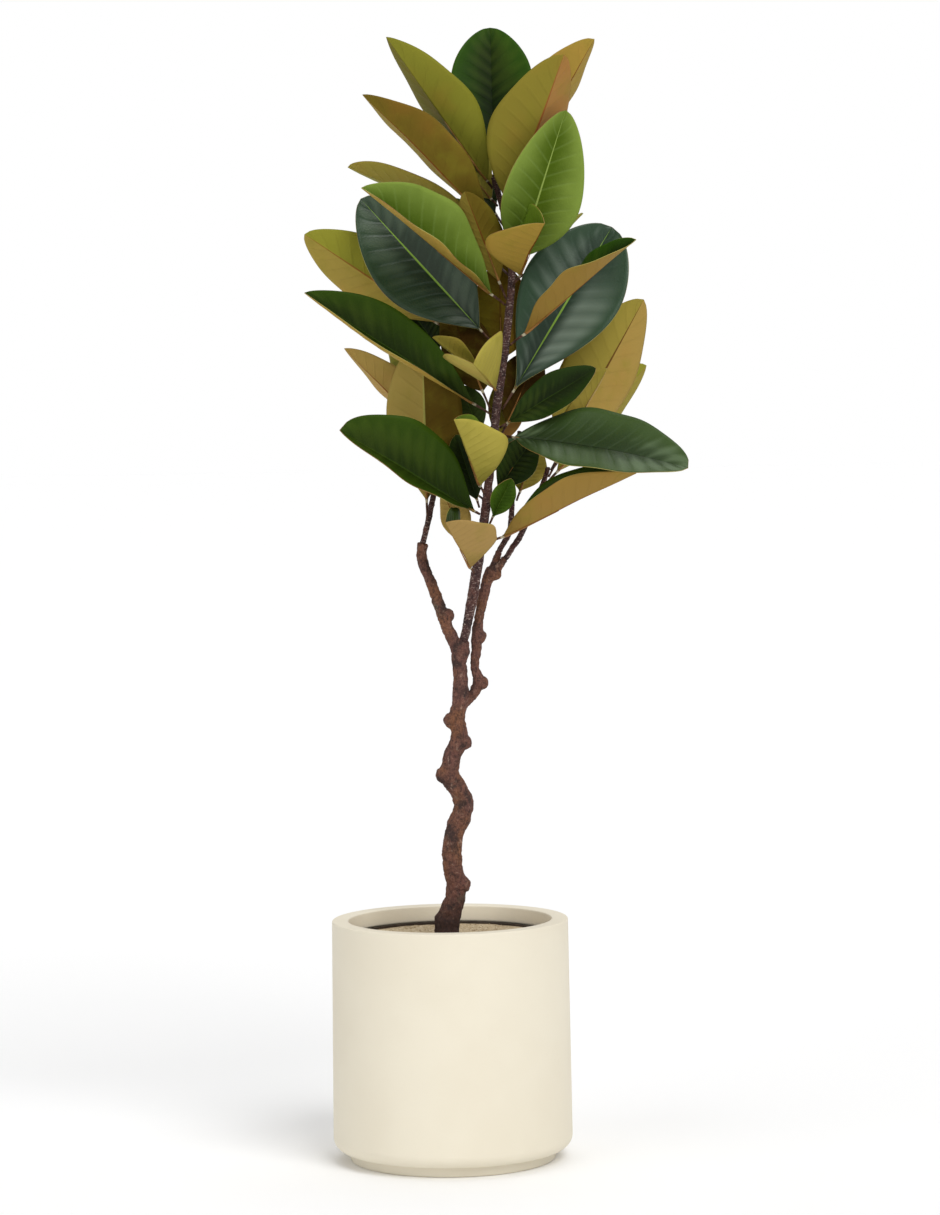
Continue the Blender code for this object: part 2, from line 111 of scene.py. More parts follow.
class Value:
    """A shader output that takes part in Python arithmetic."""

    def __init__(self, shader: "Shader", socket: NodeSocket) -> None:
        """Keeps the socket and the shader that owns it."""
        self.shader = shader
        self.socket = socket

    __add__ = operator("ADD")
    __radd__ = operator("ADD", swapped=True)
    __sub__ = operator("SUBTRACT")
    __rsub__ = operator("SUBTRACT", swapped=True)
    __mul__ = operator("MULTIPLY")
    __truediv__ = operator("DIVIDE")
    __abs__ = operator("ABSOLUTE")


class Shader:
    """A material under construction, with one Principled shader."""

    def __init__(self, name: str) -> None:
        """Starts a material with that name."""
        self.material = bpy.data.materials.new(name)
        self.material.use_nodes = True
        self.tree = self.material.node_tree
        self.tree.nodes.clear()
        output = self.tree.nodes.new("ShaderNodeOutputMaterial")
        self.principled = self.tree.nodes.new("ShaderNodeBsdfPrincipled")
        self.tree.links.new(self.principled.outputs[0], output.inputs[0])

    def node(self, kind: str, settings: dict, inputs: dict, output: int | str = 0) -> Value:
        """Adds any node.

        Args:
            kind: The node's type.
            settings: Its settings, set before its sockets.
            inputs: Values or links, by the socket's index or name.
            output: The index or name of the output that is wanted.

        Returns:
            The output as a Value.
        """
        made = self.tree.nodes.new(kind)
        for key, value in settings.items():
            setattr(made, key, value)
        for key, value in inputs.items():
            if isinstance(value, Value):
                self.tree.links.new(value.socket, made.inputs[key])
            else:
                made.inputs[key].default_value = value
        return Value(self, made.outputs[output])

    def place(self, scale: Point = (1.0, 1.0, 1.0)) -> Value:
        """The point on the piece, in metres from the frame's origin, stretched by a scale."""
        at = self.node("ShaderNodeTexCoord", {}, {}, "Object")
        return self.node("ShaderNodeMapping", {}, {"Vector": at, "Scale": scale})

    def noise(self, at: Value, scale: float, detail: float = 4.0, rough: float = 0.55) -> Value:
        """Soft noise from 0 to 1 at a point, in repeats to the metre."""
        return self.node(
            "ShaderNodeTexNoise", {}, {"Vector": at, "Scale": scale, "Detail": detail, "Roughness": rough}
        )

    def cells(self, at: Value, scale: float, feature: str = "F1") -> Value:
        """The distance to the nearest point of a cell pattern."""
        return self.node("ShaderNodeTexVoronoi", {"feature": feature}, {"Vector": at, "Scale": scale})

    def ease(self, value: Value, low: float, high: float) -> Value:
        """0 below low, 1 above high and a smooth step between."""
        return self.node(
            "ShaderNodeMapRange",
            {"interpolation_type": "SMOOTHSTEP"},
            {"Value": value, "From Min": low, "From Max": high},
        )

    def blend(self, first: object, second: object, share: object) -> Value:
        """A colour between two colours, the second one at share 1."""
        settings = {"data_type": "RGBA", "clamp_factor": True}
        colours = [(*c, 1.0) if isinstance(c, tuple) else c for c in (first, second)]
        return self.node("ShaderNodeMix", settings, {0: share, 6: colours[0], 7: colours[1]}, 2)

    def coats(self, ground: object, *coats: tuple[object, object]) -> Value:
        """The ground colour under coats of colour, each laid on at its own share."""
        for colour, share in coats:
            ground = self.blend(ground, colour, share)
        return ground

    def ripple(self, value: Value) -> Value:
        """The value's distance from the nearest whole number."""
        return self.node("ShaderNodeMath", {"operation": "PINGPONG"}, {0: value, 1: 0.5})

    def bump(self, height: Value, depth: float) -> Value:
        """A normal from a height pattern whose full range is depth metres."""
        return self.node("ShaderNodeBump", {}, {"Height": height, "Distance": depth, "Strength": 1.0})

    def finish(self, **sockets: object) -> Material:
        """Sets the Principled shader's sockets.

        Args:
            **sockets: Values, colours or links by socket name, with _ for a space.

        Returns:
            The finished material.
        """
        for key, value in sockets.items():
            socket = self.principled.inputs[key.replace("_", " ")]
            if isinstance(value, Value):
                self.tree.links.new(value.socket, socket)
            else:
                socket.default_value = (*value, 1.0) if isinstance(value, tuple) else value
        return self.material


# ---- finishes


@dataclass(frozen=True)
class Cream:
    """The planter's matte cast finish: a warm cream with faint clouds and a fine even grain."""

    base: Colour = tint(234, 226, 206)
    cloud: Colour = tint(229, 220, 199)
    speck: Colour = tint(214, 200, 176)

    def material(self) -> Material:
        """Builds the material."""
        shader = Shader("planter_cream")
        at = shader.place()
        clouds = shader.ease(shader.noise(at, 7.0, 3.0), 0.38, 0.66)
        grain = shader.noise(at, 900.0, 2.0, 0.6)
        pits = 1.0 - shader.ease(shader.cells(at, 260.0), 0.05, 0.16)
        kept = shader.ease(shader.noise(at, 60.0, 1.0), 0.55, 0.7)
        pocks = pits * kept * 0.5
        colour = shader.coats(self.base, (self.cloud, clouds * 0.6), (self.speck, pocks))
        rough = 0.56 + shader.noise(at, 30.0) * 0.14
        relief = grain * 0.6 + shader.noise(at, 130.0) * 0.7 - pocks
        return shader.finish(Base_Color=colour, Roughness=rough, Normal=shader.bump(relief, 0.00022))


@dataclass(frozen=True)
class DarkPlastic:
    """The liner's dark brown plastic, a little dusty."""

    base: Colour = tint(46, 32, 24)
    dust: Colour = tint(94, 74, 56)

    def material(self) -> Material:
        """Builds the material."""
        shader = Shader("liner_plastic")
        at = shader.place()
        dust = shader.ease(shader.noise(at, 45.0, 6.0), 0.48, 0.78)
        colour = shader.blend(self.base, self.dust, dust * 0.45)
        relief = shader.bump(shader.noise(at, 240.0), 0.0002)
        return shader.finish(Base_Color=colour, Roughness=0.36 + dust * 0.3, Normal=relief)


@dataclass(frozen=True)
class Grit:
    """Sandy grit or dark mix: one colour, a second in clumps and a third in single grains."""

    name: str
    base: Colour
    clump: Colour
    grain: Colour
    relief: float = 0.0012

    def material(self) -> Material:
        """Builds the material."""
        shader = Shader(self.name)
        at = shader.place()
        clumps = shader.ease(shader.noise(at, 16.0, 5.0), 0.36, 0.64)
        grains = shader.cells(at, 420.0)
        odd = shader.ease(shader.noise(at, 330.0, 1.0), 0.56, 0.66)
        colour = shader.coats(self.base, (self.clump, clumps), (self.grain, odd * 0.75))
        relief = (1.0 - grains) + shader.noise(at, 90.0) * 0.8
        return shader.finish(Base_Color=colour, Roughness=0.93, Normal=shader.bump(relief, self.relief))


# Heights in metres between which the wood goes from darker towards the soil to its own colour.
FOOT_DARK = (0.295, 0.345)


@dataclass(frozen=True)
class Bark:
    """Bark: a warm ground, dark patches, pale scuffs, grey bloom, darker towards the soil and, on stems, pale
    rungs.
    """

    name: str
    ground: Colour
    warm: Colour
    dark: Colour
    pale: Colour
    bloom: Colour
    fineness: float = 1.0
    roughness: float = 0.72
    scars: float = 0.0

    def material(self) -> Material:
        """Builds the material."""
        shader = Shader(self.name)
        at = shader.place((1.0, 1.0, 0.45))
        even = shader.place()
        size = self.fineness
        patches = shader.ease(shader.noise(even, 38.0 * size, 5.0, 0.6), 0.50, 0.66)
        warmth = shader.ease(shader.noise(even, 22.0 * size, 3.0), 0.40, 0.66)
        flecks = shader.noise(at, 260.0 * size, 6.0, 0.7)
        scuffs = shader.ease(shader.noise(at, 120.0 * size, 6.0, 0.65), 0.60, 0.72)
        blooms = shader.ease(shader.noise(even, 26.0 * size, 4.0, 0.6), 0.60, 0.74)
        crust = shader.noise(even, 300.0 * size, 6.0, 0.85)
        rungs = shader.noise(shader.place((0.45, 0.45, 1.6)), 420.0, 3.0, 0.6)
        height = shader.node("ShaderNodeSeparateXYZ", {}, {0: even}, "Z")
        foot = 1.0 - shader.ease(height + patches * 0.02, *FOOT_DARK)
        colour = shader.coats(
            self.ground,
            (self.warm, warmth),
            (self.dark, patches * 0.8),
            (self.bloom, blooms * 0.6),
            (self.dark, shader.ease(flecks, 0.52, 0.36) * 0.55),
            (self.pale, scuffs * 0.6),
            (self.dark, shader.ease(crust, 0.50, 0.40) * 0.75),
            (self.pale, shader.ease(crust, 0.56, 0.66) * 0.55),
            (tuple(c * 0.6 for c in self.dark), foot * 0.8),
            (self.pale, shader.ease(rungs, 0.56, 0.66) * self.scars),
        )
        rough = self.roughness + flecks * 0.2 - scuffs * 0.12
        relief = shader.noise(at, 150.0 * size, 8.0, 0.7) * 1.4 + flecks * 0.5
        return shader.finish(
            Base_Color=colour, Roughness=rough, Normal=shader.bump(relief, 0.0028), Specular_IOR_Level=0.3
        )


@dataclass(frozen=True)
class TopFinish:
    """A leaf's upper side: its colours, veins and gloss, a painted sheen, and how much painted sheen lies on
    its right half.
    """

    middle: Colour
    outer: Colour
    midrib: Colour
    vein: Colour
    vein_share: float = 0.10
    roughness: float = 0.42
    specular: float = 0.09
    # painted sheen: a pale colour laid on in bands between the veins, standing in for reflected light
    painted_sheen: Colour = tint(86, 106, 34)
    painted_sheen_share: float = 0.2
    # painted sheen: the share of a broad pale patch on the right half, standing in for a reflection
    glow: float = 0.0


@dataclass(frozen=True)
class UnderFinish:
    """A leaf's underside: the colour of each half as seen from below, and the midrib."""

    left: Colour
    right: Colour
    midrib: Colour
    roughness: float = 0.6
    specular: float = 0.08


class Top(Enum):
    """The upper sides the crown shows."""

    FOREST = TopFinish(tint(18, 32, 2), tint(48, 80, 16), tint(14, 28, 2), tint(60, 92, 30), 0.08, 0.45, 0.06)
    BLUE = TopFinish(
        tint(26, 44, 24), tint(44, 68, 42), tint(124, 160, 52), tint(74, 98, 82), 0.12, 0.34, 0.36,
        tint(104, 122, 98), 0.26,
    )
    # painted sheen: pale bands and a broad pale patch on the right half stand in for reflected light
    PAINTED_SILVER_SHEEN = TopFinish(
        tint(30, 50, 34), tint(48, 74, 50), tint(124, 160, 52), tint(74, 98, 82), 0.12, 0.34, 0.36,
        tint(132, 148, 132), 0.34, 0.75,
    )
    # real gloss from its specular level, plus painted sheen in bands and on the right half
    GLOSS_PAINTED_SHEEN = TopFinish(
        tint(36, 54, 22), tint(58, 80, 34), tint(26, 42, 14), tint(76, 98, 60), 0.12, 0.36, 0.26,
        tint(112, 132, 98), 0.42, 0.3,
    )
    MEADOW = TopFinish(tint(52, 78, 8), tint(70, 100, 20), tint(90, 112, 40), tint(90, 112, 40))
    DEEP = TopFinish(tint(32, 48, 4), tint(50, 74, 8), tint(50, 72, 16), tint(64, 88, 30))
    LIME = TopFinish(tint(72, 94, 8), tint(128, 150, 62), tint(150, 170, 84), tint(150, 174, 100), 0.12)
    YOUNG = TopFinish(tint(136, 136, 18), tint(152, 150, 30), tint(164, 158, 50), tint(160, 156, 50))
    SPRING = TopFinish(tint(84, 108, 20), tint(116, 142, 44), tint(140, 154, 64), tint(120, 144, 56))
    SHADE = TopFinish(tint(22, 34, 6), tint(36, 56, 14), tint(46, 66, 20), tint(50, 72, 32))
    # painted shade: a darker, bluish copy of the upper side for a leaf deep in the crown
    SHADE_BLUE = TopFinish(tint(28, 46, 34), tint(40, 62, 46), tint(60, 84, 50), tint(80, 100, 92), 0.1, 0.4, 0.3)


TAN_SKIN = tint(164, 138, 72)
OLIVE_SKIN = tint(124, 114, 38)
MOSS_SKIN = tint(140, 138, 46)
RED_RIB = tint(118, 62, 22)
DARK_RIB = tint(92, 58, 20)
SOFT_RIB = tint(140, 112, 46)
PALE_RIB = tint(164, 160, 84)


class Under(Enum):
    """The undersides the crown shows, by the colours of the left and right half seen from below."""

    TAN = UnderFinish(TAN_SKIN, TAN_SKIN, RED_RIB)
    GOLD = UnderFinish(tint(190, 172, 88), tint(180, 166, 74), tint(160, 142, 66))
    PINK_GOLD = UnderFinish(tint(172, 140, 86), tint(166, 136, 80), tint(150, 118, 66))
    OLIVE = UnderFinish(OLIVE_SKIN, OLIVE_SKIN, SOFT_RIB)
    OLIVE_LIME = UnderFinish(tint(112, 104, 30), tint(128, 126, 40), tint(112, 108, 32))
    ORANGE = UnderFinish(tint(166, 136, 58), tint(162, 134, 58), RED_RIB)
    OLIVE_PINK = UnderFinish(tint(134, 122, 44), tint(164, 120, 62), tint(146, 84, 40))
    # the right half's darker brown is partly its own colour and partly painted shade on the half turned from
    # the light
    TAN_SHADE_BROWN = UnderFinish(tint(142, 124, 50), tint(108, 90, 26), RED_RIB)
    TAN_MOSS = UnderFinish(tint(160, 140, 64), MOSS_SKIN, tint(136, 88, 36))
    # the right half's dark umber is partly its own colour and partly painted shade on the half turned from
    # the light
    TAN_SHADE_UMBER = UnderFinish(tint(158, 138, 70), tint(98, 78, 22), PALE_RIB)
    OLIVE_TAN = UnderFinish(tint(154, 138, 58), tint(164, 136, 68), DARK_RIB)
    # painted shade: a dark brown copy of the tan underside for leaves deep in the crown
    BROWN = UnderFinish(tint(98, 78, 18), tint(98, 78, 18), tint(86, 62, 18), 0.65, 0.05)
    # painted shade: a near-black brown copy of the underside for a leaf in deep shadow
    SHADE_UMBER = UnderFinish(tint(56, 38, 8), tint(56, 38, 8), tint(70, 44, 14), 0.7, 0.04)
    MOSS = UnderFinish(MOSS_SKIN, tint(148, 134, 54), SOFT_RIB)
    RUSSET = UnderFinish(tint(150, 120, 56), tint(146, 114, 50), RED_RIB)


MOSS_BLUSH = tint(128, 126, 36)
RUSSET_BLUSH = tint(170, 104, 46)
# a dark brown laid on the underside's base, partly as darker pigment and partly as painted shade near the
# stem, and on the side veins as their own darker tone
DARK_TONE_AND_PAINTED_SHADE = tint(84, 70, 18)

VEINS = 11.0
VEIN_SLOPE = 2.1
VEIN_BEND = 0.6


def vein_phase(side: object, along: object) -> object:
    """Which side vein a place is at, whole on a vein, for numbers or for shader values."""
    return along * VEINS - side * VEIN_SLOPE + side * side * VEIN_BEND


class LeafDresser:
    """Makes each leaf finish once and hands it out."""

    def _ground(self, shader: Shader) -> tuple[Value, Value, Value, Value]:
        """The leaf's own coordinates.

        Returns:
            The point on the piece, the place across from 0 to 1, the distance from the midrib
            from 0 to 1, and the place along from 0 to 1.
        """
        chart = shader.node("ShaderNodeUVMap", {"uv_map": "leaf"}, {})
        across = shader.node("ShaderNodeSeparateXYZ", {}, {0: chart}, "X")
        along = shader.node("ShaderNodeSeparateXYZ", {}, {0: chart}, "Y")
        return shader.place(), across, abs(across * 2.0 - 1.0), along

    def _veins(self, shader: Shader, side: Value, along: Value) -> Value:
        """1 on a side vein and 0 between, fading towards the edge."""
        line = 1.0 - shader.ease(shader.ripple(vein_phase(side, along)), 0.0, 0.16)
        return line * (1.0 - shader.ease(side, 0.55, 0.95))

    def _midrib(self, shader: Shader, side: Value, along: Value, width: float) -> Value:
        """1 on the midrib, which narrows towards the tip."""
        reach = shader.node("ShaderNodeMath", {"operation": "MAXIMUM"}, {0: 1.0 - along * 0.75, 1: 0.05})
        return 1.0 - shader.ease(side / reach, width * 0.6, width)

    @cache
    def top(self, kind: Top) -> Material:
        """The material of an upper side."""
        finish = kind.value
        shader = Shader("top_" + kind.name.lower())
        at, across, side, along = self._ground(shader)
        veins = self._veins(shader, side, along)
        mottle = shader.noise(at, 26.0, 5.0, 0.6)
        ripple = shader.ripple(vein_phase(side, along))
        painted_sheen_bands = shader.noise(at, 9.0, 1.0) + ripple * 0.35 - abs(side - 0.42) * 0.35
        inside = shader.ease(across, 0.52, 0.66) * (1.0 - shader.ease(across, 0.8, 0.98))
        stretch = shader.ease(along, 0.08, 0.3) * (1.0 - shader.ease(along, 0.45, 0.8))
        colour = shader.coats(
            finish.middle,
            (finish.outer, shader.ease(side + mottle * 0.6, 0.35, 1.35)),
            # darker towards the base: partly darker pigment, partly painted shade where the blade meets the
            # crowded stem
            (tuple(c * 0.62 for c in finish.middle), (1.0 - shader.ease(along, 0.0, 0.35)) * 0.6),
            (finish.outer, shader.ease(along, 0.8, 1.0) * 0.5),
            (finish.vein, veins * finish.vein_share),
            (finish.midrib, self._midrib(shader, side, along, 0.042) * 0.9),
            # painted sheen: pale bands between the side veins stand in for reflected light
            (finish.painted_sheen, shader.ease(painted_sheen_bands, 0.46, 0.72) * finish.painted_sheen_share),
            # painted sheen: a pale patch on the right half stands in for a broad reflection
            (finish.painted_sheen, inside * stretch * (0.55 + ripple * 0.9) * finish.glow),
        )
        net = shader.cells(at, 520.0, "SMOOTH_F1")
        relief = net * 0.5 - veins * 0.9 + shader.noise(at, 160.0) * 0.4
        return shader.finish(
            Base_Color=colour,
            Roughness=finish.roughness + mottle * 0.12 + veins * 0.05,
            Normal=shader.bump(relief, 0.00035),
            Specular_IOR_Level=finish.specular,
        )

    @cache
    def under(self, kind: Under) -> Material:
        """The material of an underside. Seen from below, the left half is the high side of across."""
        finish = kind.value
        shader = Shader("under_" + kind.name.lower())
        at, across, side, along = self._ground(shader)
        veins = self._veins(shader, side, along)
        mottle = shader.noise(at, 20.0, 6.0, 0.62)
        colour = shader.coats(
            finish.right,
            (finish.left, shader.ease(across, 0.485, 0.515)),
            (MOSS_BLUSH, shader.ease(mottle, 0.46, 0.72) * 0.385),
            (RUSSET_BLUSH, shader.ease(shader.noise(at, 12.0, 2.0), 0.52, 0.75) * 0.175),
            # darker towards the base: partly darker pigment, partly painted shade near the stem
            (DARK_TONE_AND_PAINTED_SHADE, (1.0 - shader.ease(along, 0.0, 0.3)) * 0.33),
            (DARK_TONE_AND_PAINTED_SHADE, veins * 0.06),
            (finish.midrib, self._midrib(shader, side, along, 0.05) * 0.9),
        )
        relief = shader.noise(at, 700.0, 3.0, 0.7) * 0.5 + veins * 0.8
        return shader.finish(
            Base_Color=colour,
            Roughness=finish.roughness + mottle * 0.1,
            Normal=shader.bump(relief, 0.0003),
            Specular_IOR_Level=finish.specular,
        )

    @cache
    def rim(self) -> Material:
        """The thin edge between both sides, from pale yellow to russet."""
        shader = Shader("leaf_rim")
        change = shader.ease(shader.noise(shader.place(), 18.0, 3.0), 0.4, 0.62)
        colour = shader.blend(tint(160, 150, 74), tint(134, 92, 44), change)
        return shader.finish(Base_Color=colour, Roughness=0.5)

    @cache
    def petiole(self) -> Material:
        """The stalk: dark brown, with a pale collar where the blade starts, and the rib's colour beyond."""
        shader = Shader("leaf_petiole")
        along = shader.node("ShaderNodeAttribute", {"attribute_name": "stalk"}, {}, "Fac")
        at = shader.place()
        collar = shader.ease(along, 0.84, 0.93) - shader.ease(along, 1.02, 1.12)
        colour = shader.coats(
            tint(62, 36, 28),
            (tint(104, 70, 48), shader.ease(shader.noise(at, 300.0), 0.4, 0.7)),
            (tint(142, 98, 44), shader.ease(along, 1.0, 1.2)),
            (tint(196, 186, 156), collar * 0.85),
        )
        relief = shader.bump(shader.noise(at, 500.0), 0.0004)
        return shader.finish(Base_Color=colour, Roughness=0.55, Normal=relief, Specular_IOR_Level=0.3)


# ---- meshes


def add_piece(name: str, body: BMesh, materials: list[Material]) -> Object:
    """Turns a bmesh into an object at the origin, shaded smooth.

    Args:
        name: The piece's name.
        body: The bmesh, which is freed.
        materials: The materials in the order of the faces' numbers.

    Returns:
        The new object.
    """
    mesh = bpy.data.meshes.new(name)
    body.to_mesh(mesh)
    body.free()
    for material in materials:
        mesh.materials.append(material)
    mesh.shade_smooth()
    piece = bpy.data.objects.new(name, mesh)
    bpy.context.scene.collection.objects.link(piece)
    return piece


def applied(piece: Object) -> Object:
    """Bakes a piece's modifiers into its mesh."""
    graph = bpy.context.evaluated_depsgraph_get()
    mesh = bpy.data.meshes.new_from_object(piece.evaluated_get(graph))
    mesh.name = piece.name
    piece.modifiers.clear()
    piece.data = mesh
    return piece


def keep_piece(piece: Object, slot: str, *nodes: str) -> Object:
    """Puts a piece on the body and in place of solid nodes."""
    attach(piece, BODY)
    if nodes:
        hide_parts(*nodes)
    LOG.info("%s: %d faces", piece.name, len(piece.data.polygons))
    return piece


def merged_copy(node: Object) -> BMesh:
    """A solid node's mesh with its loose triangles joined."""
    body = bmesh.new()
    body.from_mesh(node.data)
    bmesh.ops.remove_doubles(body, verts=body.verts, dist=0.01 * MM)
    return body


RING_SLACK = 0.05


@dataclass
class Round:
    """One rounded ring of a turned piece: where it is, in millimetres, and how far the rounding reaches."""

    radius: float
    height: float
    reach: float
    segments: int = 5

    def holds(self, place: Vector) -> bool:
        """Whether a point lies on the ring."""
        off = math.hypot(place.xy.length - self.radius * MM, place.z - self.height * MM)
        return off < RING_SLACK * MM


def turned(profile: list[tuple[float, float]], steps: int, rounds: list[Round]) -> BMesh:
    """Spins a profile round Z into a closed body and rounds its rings.

    Args:
        profile: Radius and height of each point, in millimetres.
        steps: Steps of the full turn.
        rounds: The rings to round.

    Returns:
        The closed body, faces outward.
    """
    body = bmesh.new()
    points = [body.verts.new((radius * MM, 0, height * MM)) for radius, height in profile]
    for first, second in zip(points, points[1:]):
        body.edges.new((first, second))
    outline = body.verts[:] + body.edges[:]
    bmesh.ops.spin(
        body, geom=outline, cent=(0, 0, 0), axis=(0, 0, 1), angle=math.tau, steps=steps, use_merge=True
    )
    bmesh.ops.remove_doubles(body, verts=body.verts, dist=0.005 * MM)
    bmesh.ops.recalc_face_normals(body, faces=body.faces)
    for ring in rounds:
        edges = [edge for edge in body.edges if all(ring.holds(vert.co) for vert in edge.verts)]
        bmesh.ops.bevel(
            body, geom=edges, offset=ring.reach * MM, offset_type="OFFSET", segments=ring.segments,
            profile=0.5, affect="EDGES", material=-1,
        )
    return body


# ---- planter and fill


@dataclass
class Planter:
    """The round cream planter: flared a little towards its belly, with an inward lip and a recessed foot."""

    diameter: float = 298.0
    height: float = 304.0
    flare: float = 2.5
    lip_width: float = 21.0
    lip_depth: float = 20.0
    wall: float = 8.0
    floor: float = 9.0
    foot_height: float = 13.0
    foot_inset: float = 22.0
    foot_taper: float = 1.5
    lip_slope: float = 5.0
    base_round: float = 17.0
    edge_round: float = 2.0
    steps: int = 192
    finish: Cream = field(default_factory=Cream)

    def build(self) -> Object:
        """Builds the planter in place of its solid."""
        outer = self.diameter / 2
        belly = outer + self.flare
        foot = belly - self.foot_inset
        mouth = outer - self.lip_width
        inside = outer - self.wall
        lip_under = self.height - self.lip_depth
        floor_top = self.foot_height + self.floor
        profile = [
            (outer, self.height), (belly, self.foot_height), (foot + self.foot_taper, self.foot_height),
            (foot, 0), (0, 0), (0, floor_top), (inside, floor_top), (inside, lip_under - self.lip_slope),
            (mouth, lip_under), (mouth, self.height), (outer, self.height),
        ]
        rounds = [
            Round(outer, self.height, self.edge_round),
            Round(mouth, self.height, self.edge_round),
            Round(mouth, lip_under, self.edge_round, 3),
            Round(belly, self.foot_height, self.base_round, 10),
            Round(foot, 0, self.edge_round, 3),
        ]
        body = turned(profile, self.steps, rounds)
        piece = add_piece("planter_shell", body, [self.finish.material()])
        piece.data.set_sharp_from_angle(angle=math.radians(32))
        return keep_piece(piece, "planter", "planter")


@dataclass
class NurseryPot:
    """The dark liner: a thin tapered wall with a rolled rim."""

    rim: float = 124.0
    bottom: float = 22.3
    top: float = 283.5
    taper: float = 14.0
    wall: float = 1.8
    bead: float = 1.4
    steps: int = 144
    finish: DarkPlastic = field(default_factory=DarkPlastic)

    def build(self) -> Object:
        """Builds the liner in place of its solid."""
        foot = self.rim - self.taper
        lip = self.rim + self.bead
        floor_top = self.bottom + self.wall
        profile = [
            (lip, self.top), (lip, self.top - 2 * self.bead), (self.rim, self.top - 3 * self.bead),
            (foot, self.bottom), (0, self.bottom), (0, floor_top), (foot - self.wall, floor_top),
            (self.rim - self.wall, self.top), (lip, self.top),
        ]
        rounds = [
            Round(lip, self.top, 1.0, 4),
            Round(lip, self.top - 2 * self.bead, 1.0, 4),
            Round(foot, self.bottom, 1.5, 3),
        ]
        body = turned(profile, self.steps, rounds)
        piece = add_piece("liner", body, [self.finish.material()])
        piece.data.set_sharp_from_angle(angle=math.radians(40))
        return keep_piece(piece, "nursery_pot", "nursery_pot")


@dataclass
class Fill:
    """The sandy top dressing with loose grains, over the dark potting mix."""

    grains: int = 520
    grain_size: tuple[float, float] = (0.6, 1.5)
    cut_step: float = 3.0
    swell: float = 0.9
    heap: float = 3.6
    heap_reach: float = 110.0
    trunk_room: float = 19.0
    seed: int = 11
    sand: Grit = Grit("dressing_sand", tint(196, 178, 146), tint(168, 148, 116), tint(214, 200, 172))
    gravel: Grit = Grit(
        "dressing_grains", tint(188, 170, 136), tint(146, 126, 96), tint(214, 202, 176), 0.0006
    )
    mix: Grit = Grit("potting_mix_dark", tint(52, 38, 26), tint(30, 22, 16), tint(98, 76, 52))

    def build(self, nodes: dict[str, Object]) -> None:
        """Builds the dressing in place of its solid and dresses the hidden mix.

        Args:
            nodes: The solid nodes by name.
        """
        low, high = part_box("top_dressing")
        body = merged_copy(nodes["top_dressing"])
        self._gridded(body, low, high)
        for vert in body.verts:
            if vert.co.z > high.z - 0.1 * MM:
                vert.co.z += self._swell_at(vert.co)
        bmesh.ops.recalc_face_normals(body, faces=body.faces)
        piece = add_piece("dressing", body, [self.sand.material()])
        piece.data.set_sharp_from_angle(angle=math.radians(50))
        keep_piece(piece, "top_dressing", "top_dressing")
        keep_piece(self._loose(nodes["trunk"], low, high), "top_dressing")
        nodes["potting_mix"].data.materials.clear()
        nodes["potting_mix"].data.materials.append(self.mix.material())

    def _gridded(self, body: BMesh, low: Vector, high: Vector) -> None:
        """Cuts the disc along a square grid, so that its top can swell."""
        for axis in (0, 1):
            normal = Vector((0, 0, 0))
            normal[axis] = 1.0
            cuts = int((high[axis] - low[axis]) / (self.cut_step * MM))
            for cut in range(1, cuts):
                at = Vector((0, 0, 0))
                at[axis] = low[axis] + cut * self.cut_step * MM
                geom = body.verts[:] + body.edges[:] + body.faces[:]
                bmesh.ops.bisect_plane(body, geom=geom, dist=1e-6, plane_co=at, plane_no=normal)

    def _swell_at(self, place: Vector) -> float:
        """How far the sand stands above its level at a place, in metres."""
        wide = noise.fractal(place * 28, 0.9, 2.0, 3)
        fine = noise.fractal(place * 160, 0.8, 2.0, 3)
        rise = self.heap * min(1.0, (place.xy.length / MM / self.heap_reach) ** 2)
        return ((wide * 0.7 + fine * 0.35) * self.swell + rise) * MM

    def _loose(self, trunk: Object, low: Vector, high: Vector) -> Object:
        """Scatters loose grains, half sunk, over the sand and clear of the trunk."""
        draw = random.Random(self.seed)
        body = bmesh.new()
        reach = (high.x - low.x) / 2 - 3 * MM
        feet = [v.co for v in trunk.data.vertices if abs(v.co.z - high.z) < 12 * MM]
        foot = sum(feet, Vector()) / len(feet)
        while len(body.faces) < self.grains * 20:
            angle, out = draw.uniform(0, math.tau), reach * math.sqrt(draw.random())
            place = Vector((math.cos(angle) * out, math.sin(angle) * out, high.z))
            size = draw.uniform(*self.grain_size) * MM
            if (place - foot).xy.length < self.trunk_room * MM:
                continue
            place.z += self._swell_at(place) + size * 0.15
            turn = Quaternion((draw.random(), draw.random(), draw.random()), draw.uniform(0, math.tau))
            shape = Matrix.Diagonal((1.0, draw.uniform(0.6, 1.0), draw.uniform(0.45, 0.8), 1.0))
            matrix = Matrix.Translation(place) @ turn.to_matrix().to_4x4() @ shape
            bmesh.ops.create_icosphere(body, subdivisions=1, radius=size, matrix=matrix)
        return add_piece("dressing_grains", body, [self.gravel.material()])


# ---- wood


